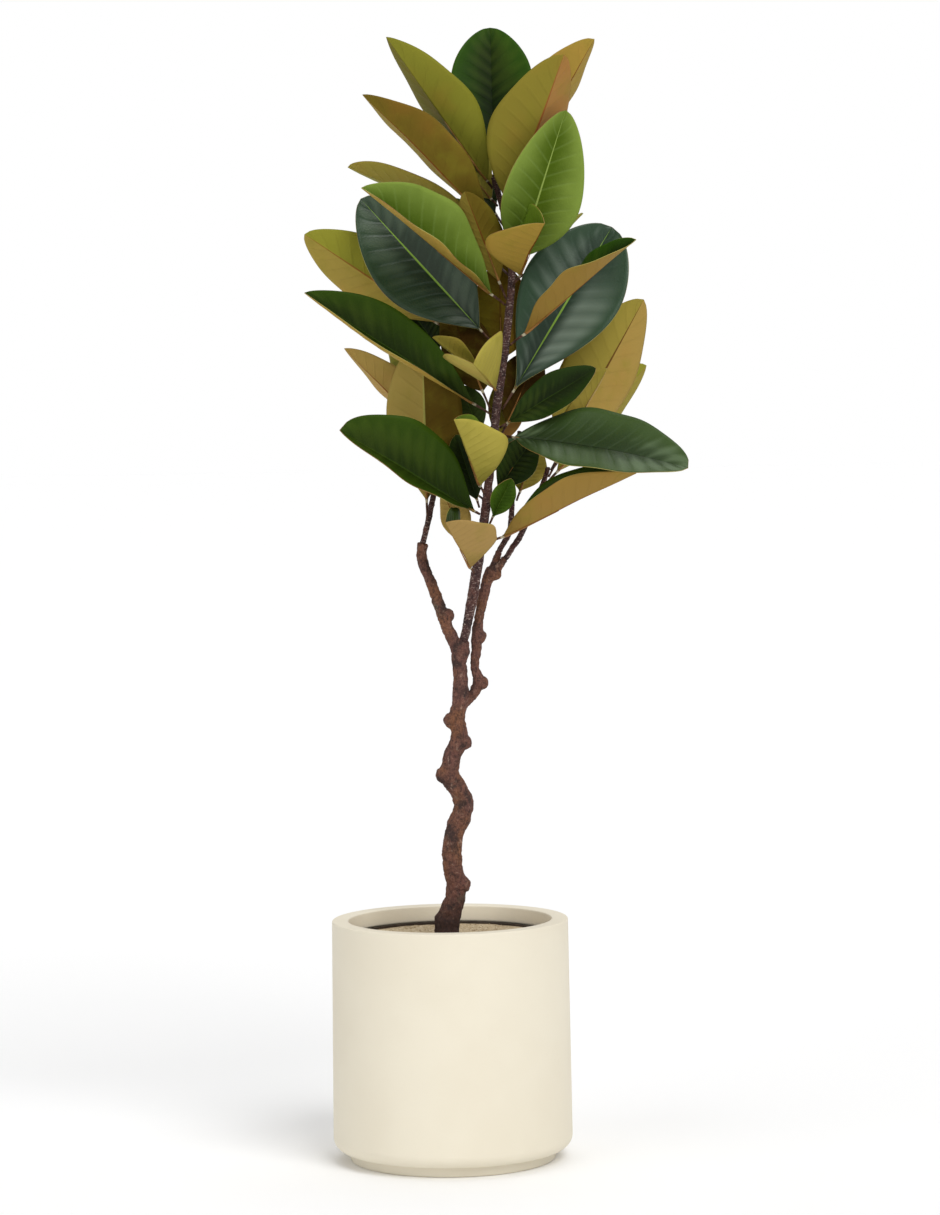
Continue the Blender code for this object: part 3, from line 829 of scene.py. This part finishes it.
@dataclass
class Wood:
    """A trunk or stem: its solid remade as fine even bark with ridges, pits and, on stems, leaf scars."""

    node: str
    slot: str
    voxel: float
    ridge: float
    pit: float
    scar: float = 0.0
    scar_step: float = 15.0
    smoothing: int = 3
    plump: float = 0.12

    def build(self, nodes: dict[str, Object], material: Material) -> Object:
        """Builds the wood in place of its solid.

        Args:
            nodes: The solid nodes by name.
            material: Its bark.

        Returns:
            The new piece.
        """
        piece = add_piece(self.node + "_bark", merged_copy(nodes[self.node]), [])
        remesh = piece.modifiers.new("even", "REMESH")
        remesh.mode = "VOXEL"
        remesh.voxel_size = self.voxel * MM
        applied(piece)
        body = bmesh.new()
        body.from_mesh(piece.data)
        axes = {f"use_axis_{axis}": True for axis in "xyz"}
        for _ in range(self.smoothing):
            bmesh.ops.smooth_vert(body, verts=body.verts, factor=0.5, **axes)
        body.normal_update()
        moves = [(vert, vert.normal * self._relief(vert.co) * MM) for vert in body.verts]
        for vert, move in moves:
            vert.co += move
        body.to_mesh(piece.data)
        body.free()
        piece.data.materials.clear()
        piece.data.materials.append(material)
        piece.data.shade_smooth()
        return keep_piece(piece, self.slot, self.node)

    def _relief(self, place: Vector) -> float:
        """How far the bark stands out at a place, in millimetres."""
        along = Vector((place.x, place.y, place.z * 0.35))
        ridges = noise.fractal(along * 170, 0.7, 2.1, 4)
        lumps = noise.fractal(place * 60, 0.9, 2.0, 3)
        facets = abs(noise.noise(place * 95)) * 2 - 0.45
        pits = max(0.0, noise.noise(place * 210) - 0.25)
        out = self.ridge * (ridges * 0.9 + lumps * 0.6 + facets * 0.5) - self.pit * pits
        if self.scar:
            wander = noise.noise(place * 18) * 4
            ring = math.cos((place.z / MM + wander) / self.scar_step * math.tau)
            out += self.scar * max(0.0, ring - 0.72) / 0.28
        return out + self.plump


TRUNK_BARK = Bark(
    "trunk_bark",
    ground=tint(114, 76, 66),
    warm=tint(130, 86, 60),
    dark=tint(48, 38, 36),
    pale=tint(176, 146, 126),
    bloom=tint(104, 100, 84),
)
STEM_BARK = Bark(
    "stem_bark",
    ground=tint(84, 54, 50),
    warm=tint(104, 66, 56),
    dark=tint(40, 26, 28),
    pale=tint(186, 164, 152),
    bloom=tint(92, 76, 72),
    fineness=1.8,
    roughness=0.62,
    scars=0.8,
)


# ---- the plant's paths

SOIL_LEVEL = 277.5
STEM_WIDTH = 11.0
TWIG_WIDTH = 7.5
TOUCH_GAP = 0.3
PETIOLE_WIDTH = 3.0
BASE_TAPER = 0.95
PATH_STEPS = 2

# Points on each stem: across, back, up from the soil, and the width as a share of the stem's width.
MAIN_STEM = [
    (33, -9, 426, 1.25), (42, -10, 477, 1.2), (50, -8, 527, 1.1), (57, -5, 577, 1.0),
    (63, -2, 627, 1.0), (69, 0, 677, 1.05), (77, 0, 727, 1.0), (84, 0, 777, 0.95), (88, 0, 814, 0.9),
    (90, 0, 852, 0.8), (85, 0, 889, 0.75), (77, 2, 927, 0.7), (68, 4, 958, 0.6),
]
LEFT_STEM = [
    (-20, 8, 529, 1.0), (-13, 12, 560, 1.0), (0, 20, 608, 1.0), (9, 28, 655, 0.95), (15, 34, 705, 0.9),
    (19, 38, 775, 0.75),
]
INNER_STEM = [
    (77, 19, 503, 1.0), (83, 24, 515, 1.0), (86, 32, 548, 0.95), (87, 38, 582, 0.9), (97, 46, 640, 0.75),
]
OUTER_STEM = [
    (86, 6, 495, 1.0), (95, 8, 507, 1.0), (115, 20, 548, 0.95), (128, 28, 580, 0.85), (132, 29, 594, 0.75),
]


def spline(a: object, b: object, c: object, d: object, t: float) -> object:
    """The value at t between b and c on the curve through all four."""
    bend = (a * 2 - b * 5 + c * 4 - d) * t * t + (b * 3 - a - c * 3 + d) * t * t * t
    return (b * 2 + (c - a) * t + bend) * 0.5


def stem_path(drawn: list[tuple], width: float) -> Path:
    """(centre, radius) along a stem, in millimetres.

    Args:
        drawn: The stem's points.
        width: The stem's width.

    Returns:
        The smooth path from its first point to its last.
    """
    knots = [(Vector((x, y, z + SOIL_LEVEL)), share * width / 2) for x, y, z, share in drawn]
    last = len(knots) - 1
    smooth = []
    for index in range(last):
        near = [knots[min(max(index + k, 0), last)] for k in (-1, 0, 1, 2)]
        for step in range(PATH_STEPS):
            t = step / PATH_STEPS
            smooth.append((spline(*(k[0] for k in near), t), spline(*(k[1] for k in near), t)))
    return smooth + [knots[last]]


def stem_at(path: Path, height: float) -> tuple[Vector, float]:
    """(centre, radius) of a stem at a height above the floor."""
    for (low, low_radius), (high, high_radius) in zip(path, path[1:]):
        if low.z <= height <= high.z:
            share = (height - low.z) / (high.z - low.z)
            return low.lerp(high, share), low_radius + share * (high_radius - low_radius)
    return path[-1]


# ---- leaves


@dataclass(frozen=True)
class Leaf:
    """A leaf, by where it leaves its stem, how its blade lies and how it looks. Angles are in degrees."""

    height: float
    reach: Point
    faces: Point
    width: float
    slot: str
    top: Top
    under: Under
    stem: str = "main"
    bow: float = 0.0
    fold: float = 12.0
    curl: tuple[float, float] = (15.0, 15.0)
    twist: float = 0.0
    petiole: float = 25.0
    widest: float = 0.52
    tip: float = 0.62


LEAVES = [
    Leaf(954, (-2, 83, 199), (0, -1, 0.4), 108, "green", Top.FOREST, Under.TAN, petiole=15, widest=0.58),
    Leaf(
        944, (-129, -42, 186), (0.6, 0.7, 0.3), 95, "olive", Top.SPRING, Under.OLIVE_LIME, fold=25,
        petiole=12, widest=0.48, tip=0.8,
    ),
    Leaf(934, (115, -10, 193), (-0.8, 0.7, 0), 95, "tan", Top.DEEP, Under.ORANGE, fold=25),
    Leaf(
        915, (72, -68, 187), (-0.6, 1, 0), 116, "tan", Top.SPRING, Under.OLIVE_PINK, fold=20, petiole=10,
        widest=0.47,
    ),
    Leaf(886, (-172, -69, 171), (0.8, 0.8, 0.5), 90, "olive", Top.DEEP, Under.TAN_SHADE_BROWN, fold=28, tip=0.8),
    Leaf(885, (-196, 59, 92), (0.2, 0.45, 1), 85, "lime", Top.YOUNG, Under.MOSS),
    Leaf(922, (-56, 26, 73), (0.6, 1, 0.3), 56, "tan", Top.YOUNG, Under.GOLD, petiole=12),
    Leaf(798, (-175, -112, 142), (0.2, -1, 1), 118, "lime", Top.LIME, Under.ORANGE, fold=38, tip=0.75),
    Leaf(742, (-170, -5, 191), (-0.2, -1, 0.3), 125, "blue_green", Top.BLUE, Under.OLIVE, petiole=35),
    Leaf(765, (-184, -20, 126), (0.3, 1, 0.3), 90, "olive", Top.DEEP, Under.TAN_MOSS, stem="left"),
    Leaf(
        662, (-228, -63, 153), (0.2, -1, 0.9), 94, "green", Top.DEEP, Under.ORANGE, fold=28, curl=(45, 15),
        tip=0.75,
    ),
    Leaf(
        620, (-121, 40, 128), (0.8, 0.9, 0.5), 64, "tan", Top.SHADE, Under.TAN, stem="left", fold=28, tip=0.8,
    ),
    Leaf(650, (-72, 50, 116), (0.2, 1, 0.6), 72, "lime", Top.YOUNG, Under.MOSS, stem="left"),
    Leaf(530, (-3, -14, 232), (0, 1, 0.1), 100, "tan", Top.SHADE, Under.TAN_SHADE_UMBER, stem="left"),
    Leaf(
        537, (-171, -80, 108), (0.1, -1, 0.9), 122, "green", Top.DEEP, Under.BROWN, fold=30, petiole=8,
        tip=0.5,
    ),
    Leaf(
        690, (-30, -110, 34), (-0.32, 0.3, 0.95), 122, "tan", Top.SPRING, Under.GOLD, fold=42, curl=(25, 20),
        petiole=10,
    ),
    Leaf(
        562, (-36, -56, 94), (0.65, 0.1, 0.8), 104, "tan", Top.SPRING, Under.GOLD, fold=50, curl=(25, 25),
        petiole=14,
    ),
    Leaf(
        464, (-34, -80, 66), (0.45, -0.05, 0.9), 104, "tan", Top.DEEP, Under.PINK_GOLD, fold=46, curl=(20, 5),
        petiole=12,
    ),
    Leaf(822, (38, -105, 72), (-0.7, 0.5, 0.3), 118, "tan", Top.SPRING, Under.ORANGE, fold=42),
    Leaf(805, (-50, -48, 132), (0.2, 1, 0.1), 56, "olive", Top.SHADE, Under.TAN_SHADE_BROWN, fold=20),
    Leaf(845, (63, -45, 191), (0.35, -1, 0.1), 108, "lime", Top.LIME, Under.OLIVE, petiole=14, widest=0.43),
    Leaf(
        668, (142, 45, 228), (-0.1, -1, 0.1), 134, "blue_green", Top.PAINTED_SILVER_SHEEN, Under.OLIVE, petiole=28,
        widest=0.6, tip=0.55,
    ),
    Leaf(748, (155, -97, 125), (-0.5, 0.3, 1), 66, "tan", Top.FOREST, Under.RUSSET, fold=38, twist=70),
    Leaf(826, (91, 128, 92), (-0.5, 0.6, 1), 34, "lime", Top.YOUNG, Under.MOSS),
    Leaf(
        590, (122, 50, 215), (-0.3, 1, 0.3), 108, "tan", Top.DEEP, Under.OLIVE_TAN, stem="outer", petiole=12,
    ),
    Leaf(582, (73, -60, 135), (-0.6, 0.6, 0.3), 46, "tan", Top.SHADE, Under.OLIVE_TAN, stem="outer", fold=30),
    Leaf(645, (120, -45, 72), (0.3, -1, 0.5), 52, "green", Top.SHADE, Under.BROWN, petiole=12),
    Leaf(
        635, (231, -119, -42), (0, -1, 1), 112, "green", Top.GLOSS_PAINTED_SHEEN, Under.TAN, bow=8, petiole=24, widest=0.47,
        tip=0.52,
    ),
    Leaf(
        500, (185, -88, 87), (-0.3, -0.2, 1), 92, "tan", Top.DEEP, Under.RUSSET, fold=45, curl=(20, 20),
        tip=0.75,
    ),
    Leaf(628, (54, 32, 114), (-0.3, 1, 0.3), 70, "olive", Top.SHADE, Under.SHADE_UMBER),
    Leaf(600, (38, 57, 128), (-0.3, 1, 0.3), 56, "tan", Top.SHADE, Under.OLIVE_PINK),
    Leaf(560, (53, 8, 73), (0.3, -1, 0.3), 52, "green", Top.SHADE, Under.BROWN, petiole=10),
    Leaf(552, (24, -2, 70), (-0.2, 1, 0.3), 60, "lime", Top.SPRING, Under.MOSS, stem="inner", petiole=13),
    Leaf(525, (28, -12, 56), (0.3, -1, 0.3), 32, "green", Top.MEADOW, Under.BROWN, petiole=10),
    Leaf(545, (-28, 6, 92), (-0.2, -1, 0.3), 46, "green", Top.SHADE, Under.BROWN, petiole=10),
    Leaf(725, (-60, 25, 83), (-0.2, -1, 0.3), 70, "green", Top.SHADE, Under.BROWN, stem="left"),
    Leaf(745, (-22, 12, 95), (0.2, 1, 0.3), 75, "olive", Top.SHADE, Under.BROWN, stem="left"),
    Leaf(897, (-45, 62, 75), (-0.2, -1, 0.3), 50, "green", Top.SHADE_BLUE, Under.BROWN),
    Leaf(478, (-38, 42, 88), (0.2, 1, 0.3), 42, "tan", Top.SHADE, Under.TAN),
    Leaf(668, (-54, 8, 140), (0.2, 1, 0.2), 70, "olive", Top.SHADE, Under.SHADE_UMBER, widest=0.42),
    Leaf(697, (-76, -16, 62), (0.4, 0.6, 1), 40, "olive", Top.SPRING, Under.MOSS, fold=30),
    Leaf(572, (135, 125, 150), (-0.3, 1, 0.6), 75, "tan", Top.DEEP, Under.MOSS, stem="outer"),
    Leaf(872, (22, 160, 6), (0, -0.5, 1), 64, "green", Top.FOREST, Under.TAN),
    Leaf(740, (60, 125, 80), (0, -0.5, 1), 90, "green", Top.DEEP, Under.OLIVE, stem="left"),
    Leaf(835, (-95, 130, 105), (0, -0.5, 1), 85, "green", Top.DEEP, Under.TAN),
    Leaf(575, (-10, 170, 60), (0, -0.5, 1), 90, "green", Top.FOREST, Under.ORANGE),
    Leaf(555, (-85, 140, 60), (0, -0.5, 1), 85, "green", Top.DEEP, Under.TAN),
    Leaf(616, (-32, 27, 82), (-0.2, -1, 0.3), 44, "green", Top.SHADE, Under.BROWN),
    Leaf(722, (-2, 32, 132), (0.1, 1, 0.2), 90, "olive", Top.SHADE, Under.BROWN, petiole=10, widest=0.45),
]


# Where each material stands in a leaf's list, after its upper side.
UNDER_SIDE, THIN_EDGE, STALK_SKIN = 1, 2, 3


@dataclass
class Foliage:
    """The crown: every leaf as a thin two-sided blade with veins and a stalk that runs on as its rib."""

    columns: int = 24
    rows: int = 68
    spread: float = 1.45
    thickness: float = 0.75
    rib_depth: float = 0.9
    rib_width: float = 1.7
    quilt: float = 0.55
    wave: float = 2.2
    wander: float = 2.4
    stalk_sides: int = 10
    stalk_steps: int = 12
    stalk_reach: float = 0.42
    stalk_bunching: float = 1.3
    stalk_thinning: float = 0.72
    collar_swell: float = 0.3
    collar_reach: float = 0.03
    section_steps: int = 12
    dresser: LeafDresser = field(default_factory=LeafDresser)

    def build(self, paths: dict[str, Path]) -> None:
        """Builds each leaf in place of its solid.

        Args:
            paths: The stems' paths by the names that the leaves use.
        """
        for index, leaf in enumerate(LEAVES):
            node = f"leaf_{index + 1:02d}"
            piece = self._leaf(node, leaf, LeafForm(leaf, paths[leaf.stem], index))
            keep_piece(piece, "leaf_" + leaf.slot, node)

    def _leaf(self, node: str, leaf: Leaf, form: "LeafForm") -> Object:
        """One leaf's blade and stalk as one piece."""
        body = bmesh.new()
        chart = body.loops.layers.uv.new("leaf")
        bmesh.ops.create_grid(body, x_segments=self.columns, y_segments=self.rows, size=1)
        profile: dict[float, tuple[float, float]] = {}
        places: dict[BMVert, tuple[float, float]] = {}
        for vert in body.verts:
            side = math.copysign(abs(vert.co.x) ** self.spread, vert.co.x)
            along = (vert.co.y + 1) / 2
            places[vert] = (side, along)
            key = round(side, 5)
            if key not in profile:
                profile[key] = form.section(side, self.section_steps)
            vert.co = self._blade_point(form, side, along, profile[key]) * MM
        for face in body.faces:
            for loop in face.loops:
                side, along = places[loop.vert]
                loop[chart].uv = (0.5 + side / 2, along)
        dresser = self.dresser
        materials = [dresser.top(leaf.top), dresser.under(leaf.under), dresser.rim(), dresser.petiole()]
        piece = add_piece(node + "_blade", body, materials)
        solid = piece.modifiers.new("thickness", "SOLIDIFY")
        solid.thickness = self.thickness * MM
        solid.offset = 0
        solid.material_offset = UNDER_SIDE
        solid.material_offset_rim = THIN_EDGE
        applied(piece)
        self._add_stalk(piece, form)
        return piece

    def _blade_point(self, form: "LeafForm", side: float, along: float, lie: tuple[float, float]) -> Vector:
        """A point of the blade with its groove, quilting between veins, wavy edge and slow wander."""
        half = form.half_width(along)
        middle, heading, up = form.frame(form.share_at(along))
        right = heading.cross(up)
        off = abs(side) * half
        groove = self.rib_depth * (1 - 0.75 * along) * math.exp(-((off / self.rib_width) ** 2))
        phase = vein_phase(abs(side), along)
        fullness = math.sin(math.pi * min(1.0, abs(side) * 1.05)) * min(1.0, half / 25)
        pillow = (abs(math.sin(math.pi * phase)) ** 0.8 - 0.55) * self.quilt * fullness
        envelope = math.sin(math.pi * min(max(along, 0.0), 1.0))
        swing = math.sin(form.waves * along * math.tau + form.phase(side))
        wave = self.wave * abs(side) ** 3 * swing * envelope
        drift = noise.noise(Vector((side * 0.9, along * 2.2, form.seed * 3.7))) * self.wander * envelope
        sideways, lift = lie
        return middle + right * sideways * half + up * (lift * half - groove + pillow + wave + drift)

    def _add_stalk(self, piece: Object, form: "LeafForm") -> None:
        """Adds the stalk, which runs on under the blade as its rib and thins out there."""
        body = bmesh.new()
        body.from_mesh(piece.data)
        stalk = body.verts.layers.float.new("stalk")
        blade = set(body.faces)
        start = form.stalk_share
        end = start + (1 - start) * self.stalk_reach
        stations = []
        for step in range(self.stalk_steps + 1):
            share = end * (step / self.stalk_steps) ** self.stalk_bunching
            middle, heading, up = form.frame(share)
            beyond = max(0.0, share - start) / (end - start)
            radius = PETIOLE_WIDTH / 2 * (0.95 - self.stalk_thinning * beyond)
            swell = self.collar_swell * math.exp(-(((share - start) / self.collar_reach) ** 2))
            sink = min(1.0, max(0.0, (share - start * 0.6) / 0.08))
            depth = (self.rib_depth + radius + 0.2) * sink
            stations.append((middle - up * depth, radius * (1 + swell), heading, share / start))
        made = bmesh.ops.create_circle(body, cap_ends=True, segments=self.stalk_sides, radius=1.0)
        ring = made["verts"]
        face = ring[0].link_faces[0]
        spin = Vector((0, 0, 1)).rotation_difference(stations[0][2])
        previous = Matrix.Identity(4)
        for index, (middle, radius, heading, share) in enumerate(stations):
            if index:
                spin = stations[index - 1][2].rotation_difference(heading) @ spin
                grown = bmesh.ops.extrude_face_region(body, geom=[face])["geom"]
                face = next(item for item in grown if isinstance(item, BMFace))
                ring = face.verts[:]
            place = Matrix.Translation(middle * MM) @ spin.to_matrix().to_4x4() @ Matrix.Scale(radius * MM, 4)
            bmesh.ops.transform(body, matrix=place @ previous.inverted(), verts=ring)
            previous = place
            for vert in ring:
                vert[stalk] = share
        skin = [face for face in body.faces if face not in blade]
        for face in skin:
            face.material_index = STALK_SKIN
            face.smooth = True
        bmesh.ops.recalc_face_normals(body, faces=skin)
        body.to_mesh(piece.data)
        body.free()


class LeafForm:
    """The lie of one leaf: its base on the stem, its heading and its outline."""

    def __init__(self, leaf: Leaf, path: Path, seed: int) -> None:
        """Works out the leaf's base and frame.

        Args:
            leaf: The leaf.
            path: Its stem's path.
            seed: A number of its own, for its waves.
        """
        self.leaf = leaf
        self.seed = seed
        self.waves = 1.4 + (seed * 7 % 5) * 0.35
        self.chord = Vector(leaf.reach)
        ahead = self.chord.normalized()
        faces = Vector(leaf.faces)
        self.up = (faces - ahead * faces.dot(ahead)).normalized()
        self.arch = self.up * leaf.bow * 4
        start = (self.chord + self.arch).normalized()
        level = Vector((start.x, start.y, 0)).normalized()
        centre, radius = stem_at(path, leaf.height + SOIL_LEVEL)
        lean = PETIOLE_WIDTH / math.sqrt(2) * abs(start.z)
        self.base = centre + level * (radius + TOUCH_GAP + lean)
        self.stalk_share = leaf.petiole / self.chord.length

    def frame(self, share: float) -> tuple[Vector, Vector, Vector]:
        """(middle, heading, up) at a share of the whole leaf, stalk included."""
        middle = self.base + self.chord * share + self.arch * share * (1 - share)
        heading = (self.chord + self.arch * (1 - 2 * share)).normalized()
        up = (self.up - heading * self.up.dot(heading)).normalized()
        return middle, heading, Quaternion(heading, math.radians(self.leaf.twist) * share**3) @ up

    def share_at(self, along: float) -> float:
        """The share of the whole leaf at a share of its blade."""
        return self.stalk_share + (1 - self.stalk_share) * along

    def half_width(self, along: float) -> float:
        """The blade's half width at a share of the blade, in millimetres."""
        stretch = math.log(0.5) / math.log(self.leaf.widest)
        fullness = BASE_TAPER + (self.leaf.tip - BASE_TAPER) * along
        outline = max(0.0, math.sin(math.pi * min(1.0, along) ** stretch)) ** fullness
        least = PETIOLE_WIDTH / 2 if along < 0.5 else 0.35
        return max(self.leaf.width / 2 * outline, least)

    def section(self, side: float, steps: int) -> tuple[float, float]:
        """(sideways, lift) of a place across the blade, for a half 1 wide."""
        leaf = self.leaf
        curl = leaf.curl[side > 0]
        sideways, lift, share = 0.0, 0.0, abs(side)
        for step in range(steps):
            at = (step + 0.5) / steps * share
            angle = math.radians(leaf.fold + curl * at * at)
            sideways += math.cos(angle) * share / steps
            lift += math.sin(angle) * share / steps
        return math.copysign(sideways, side), lift

    def phase(self, side: float) -> float:
        """Where the edge's wave starts on a side."""
        return self.seed * 2.4 + (1.9 if side > 0 else 0.0)


# ---- studio


@dataclass
class Studio:
    """A plain pale floor, soft lights and the camera."""

    floor_reach: float = 60.0
    floor_colour: Colour = (0.97, 0.97, 0.97)
    sky: float = 0.36
    backdrop: float = 1.0
    place: Point = (0.031, -4.744, 0.939)
    pitch: float = 2.92
    roll: float = 0.833
    lens: float = 111.9
    lights: tuple[tuple[str, float, float, float, float], ...] = (
        ("key", 1.58, 34.0, 30.0, 44.0),
        ("fill", 0.56, 50.0, -50.0, 26.0),
        ("top", 0.9, 60.0, 170.0, 70.0),
    )

    def build(self) -> None:
        """Makes the floor, the light and the camera."""
        body = bmesh.new()
        bmesh.ops.create_circle(body, cap_ends=True, segments=64, radius=self.floor_reach)
        shader = Shader("floor_paper")
        grain = shader.noise(shader.place(), 3.0) * 0.02
        pale = shader.blend(self.floor_colour, tuple(c * 0.98 for c in self.floor_colour), grain)
        material = shader.finish(Base_Color=pale, Roughness=0.9, Specular_IOR_Level=0.1)
        floor = add_piece("floor", body, [material])
        self._world()
        for name, strength, spread, azimuth, elevation in self.lights:
            self._sun(name, strength, spread, azimuth, elevation)
        self._camera()

    def _world(self) -> None:
        """A soft even sky that looks white behind the plant."""
        world = bpy.data.worlds.new("studio")
        bpy.context.scene.world = world
        world.use_nodes = True
        nodes, links = world.node_tree.nodes, world.node_tree.links
        nodes.clear()
        output = nodes.new("ShaderNodeOutputWorld")
        ray = nodes.new("ShaderNodeLightPath")
        pick = nodes.new("ShaderNodeMixShader")
        links.new(ray.outputs["Is Camera Ray"], pick.inputs[0])
        for slot, strength in ((1, self.sky), (2, self.backdrop)):
            glow = nodes.new("ShaderNodeBackground")
            glow.inputs[0].default_value = (1.0, 1.0, 1.0, 1.0)
            glow.inputs[1].default_value = strength
            links.new(glow.outputs[0], pick.inputs[slot])
        links.new(pick.outputs[0], output.inputs[0])

    def _sun(self, name: str, strength: float, spread: float, azimuth: float, elevation: float) -> None:
        """A broad soft light from an azimuth, 0 at the camera and 90 at the right, and an elevation."""
        lamp = bpy.data.lights.new(name, "SUN")
        lamp.energy = strength
        lamp.angle = math.radians(spread)
        item = bpy.data.objects.new(name, lamp)
        turn, rise = math.radians(azimuth), math.radians(elevation)
        away = Vector((math.sin(turn) * math.cos(rise), -math.cos(turn) * math.cos(rise), math.sin(rise)))
        item.rotation_euler = away.to_track_quat("Z", "Y").to_euler()
        bpy.context.scene.collection.objects.link(item)

    def _camera(self) -> None:
        """The camera: level with the crown, looking slightly down."""
        data = bpy.data.cameras.new("view")
        data.lens = self.lens
        data.sensor_width = 36.0
        data.clip_end = 200.0
        camera = bpy.data.objects.new("view", data)
        bpy.context.scene.collection.objects.link(camera)
        look = Matrix.Rotation(math.radians(90 - self.pitch), 4, "X")
        tilt = Matrix.Rotation(math.radians(-self.roll), 4, "Z")
        camera.matrix_world = Matrix.Translation(self.place) @ look @ tilt
        bpy.context.scene.camera = camera
        bpy.context.scene.view_settings.view_transform = "Standard"


def main() -> None:
    """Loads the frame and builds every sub-assembly around it."""
    logging.basicConfig(level=logging.INFO, format="%(name)s: %(message)s")
    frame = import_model()
    nodes = frame["nodes"]
    Planter().build()
    NurseryPot().build()
    Fill().build(nodes)
    Wood("trunk", "trunk_bark", 1.2, 1.3, 2.4).build(nodes, TRUNK_BARK.material())
    bark = STEM_BARK.material()
    Wood("stem_main", "stem_bark", 0.9, 0.5, 0.9, 0.35, 13.0, 2).build(nodes, bark)
    for node in ("stem_left", "stem_inner", "stem_outer"):
        Wood(node, "stem_bark", 0.8, 0.35, 0.6, 0.3, 15.0, 2).build(nodes, bark)
    paths = {
        "main": stem_path(MAIN_STEM, STEM_WIDTH),
        "left": stem_path(LEFT_STEM, TWIG_WIDTH),
        "inner": stem_path(INNER_STEM, TWIG_WIDTH),
        "outer": stem_path(OUTER_STEM, TWIG_WIDTH),
    }
    Foliage().build(paths)
    Studio().build()


if __name__ == "__main__":
    main()
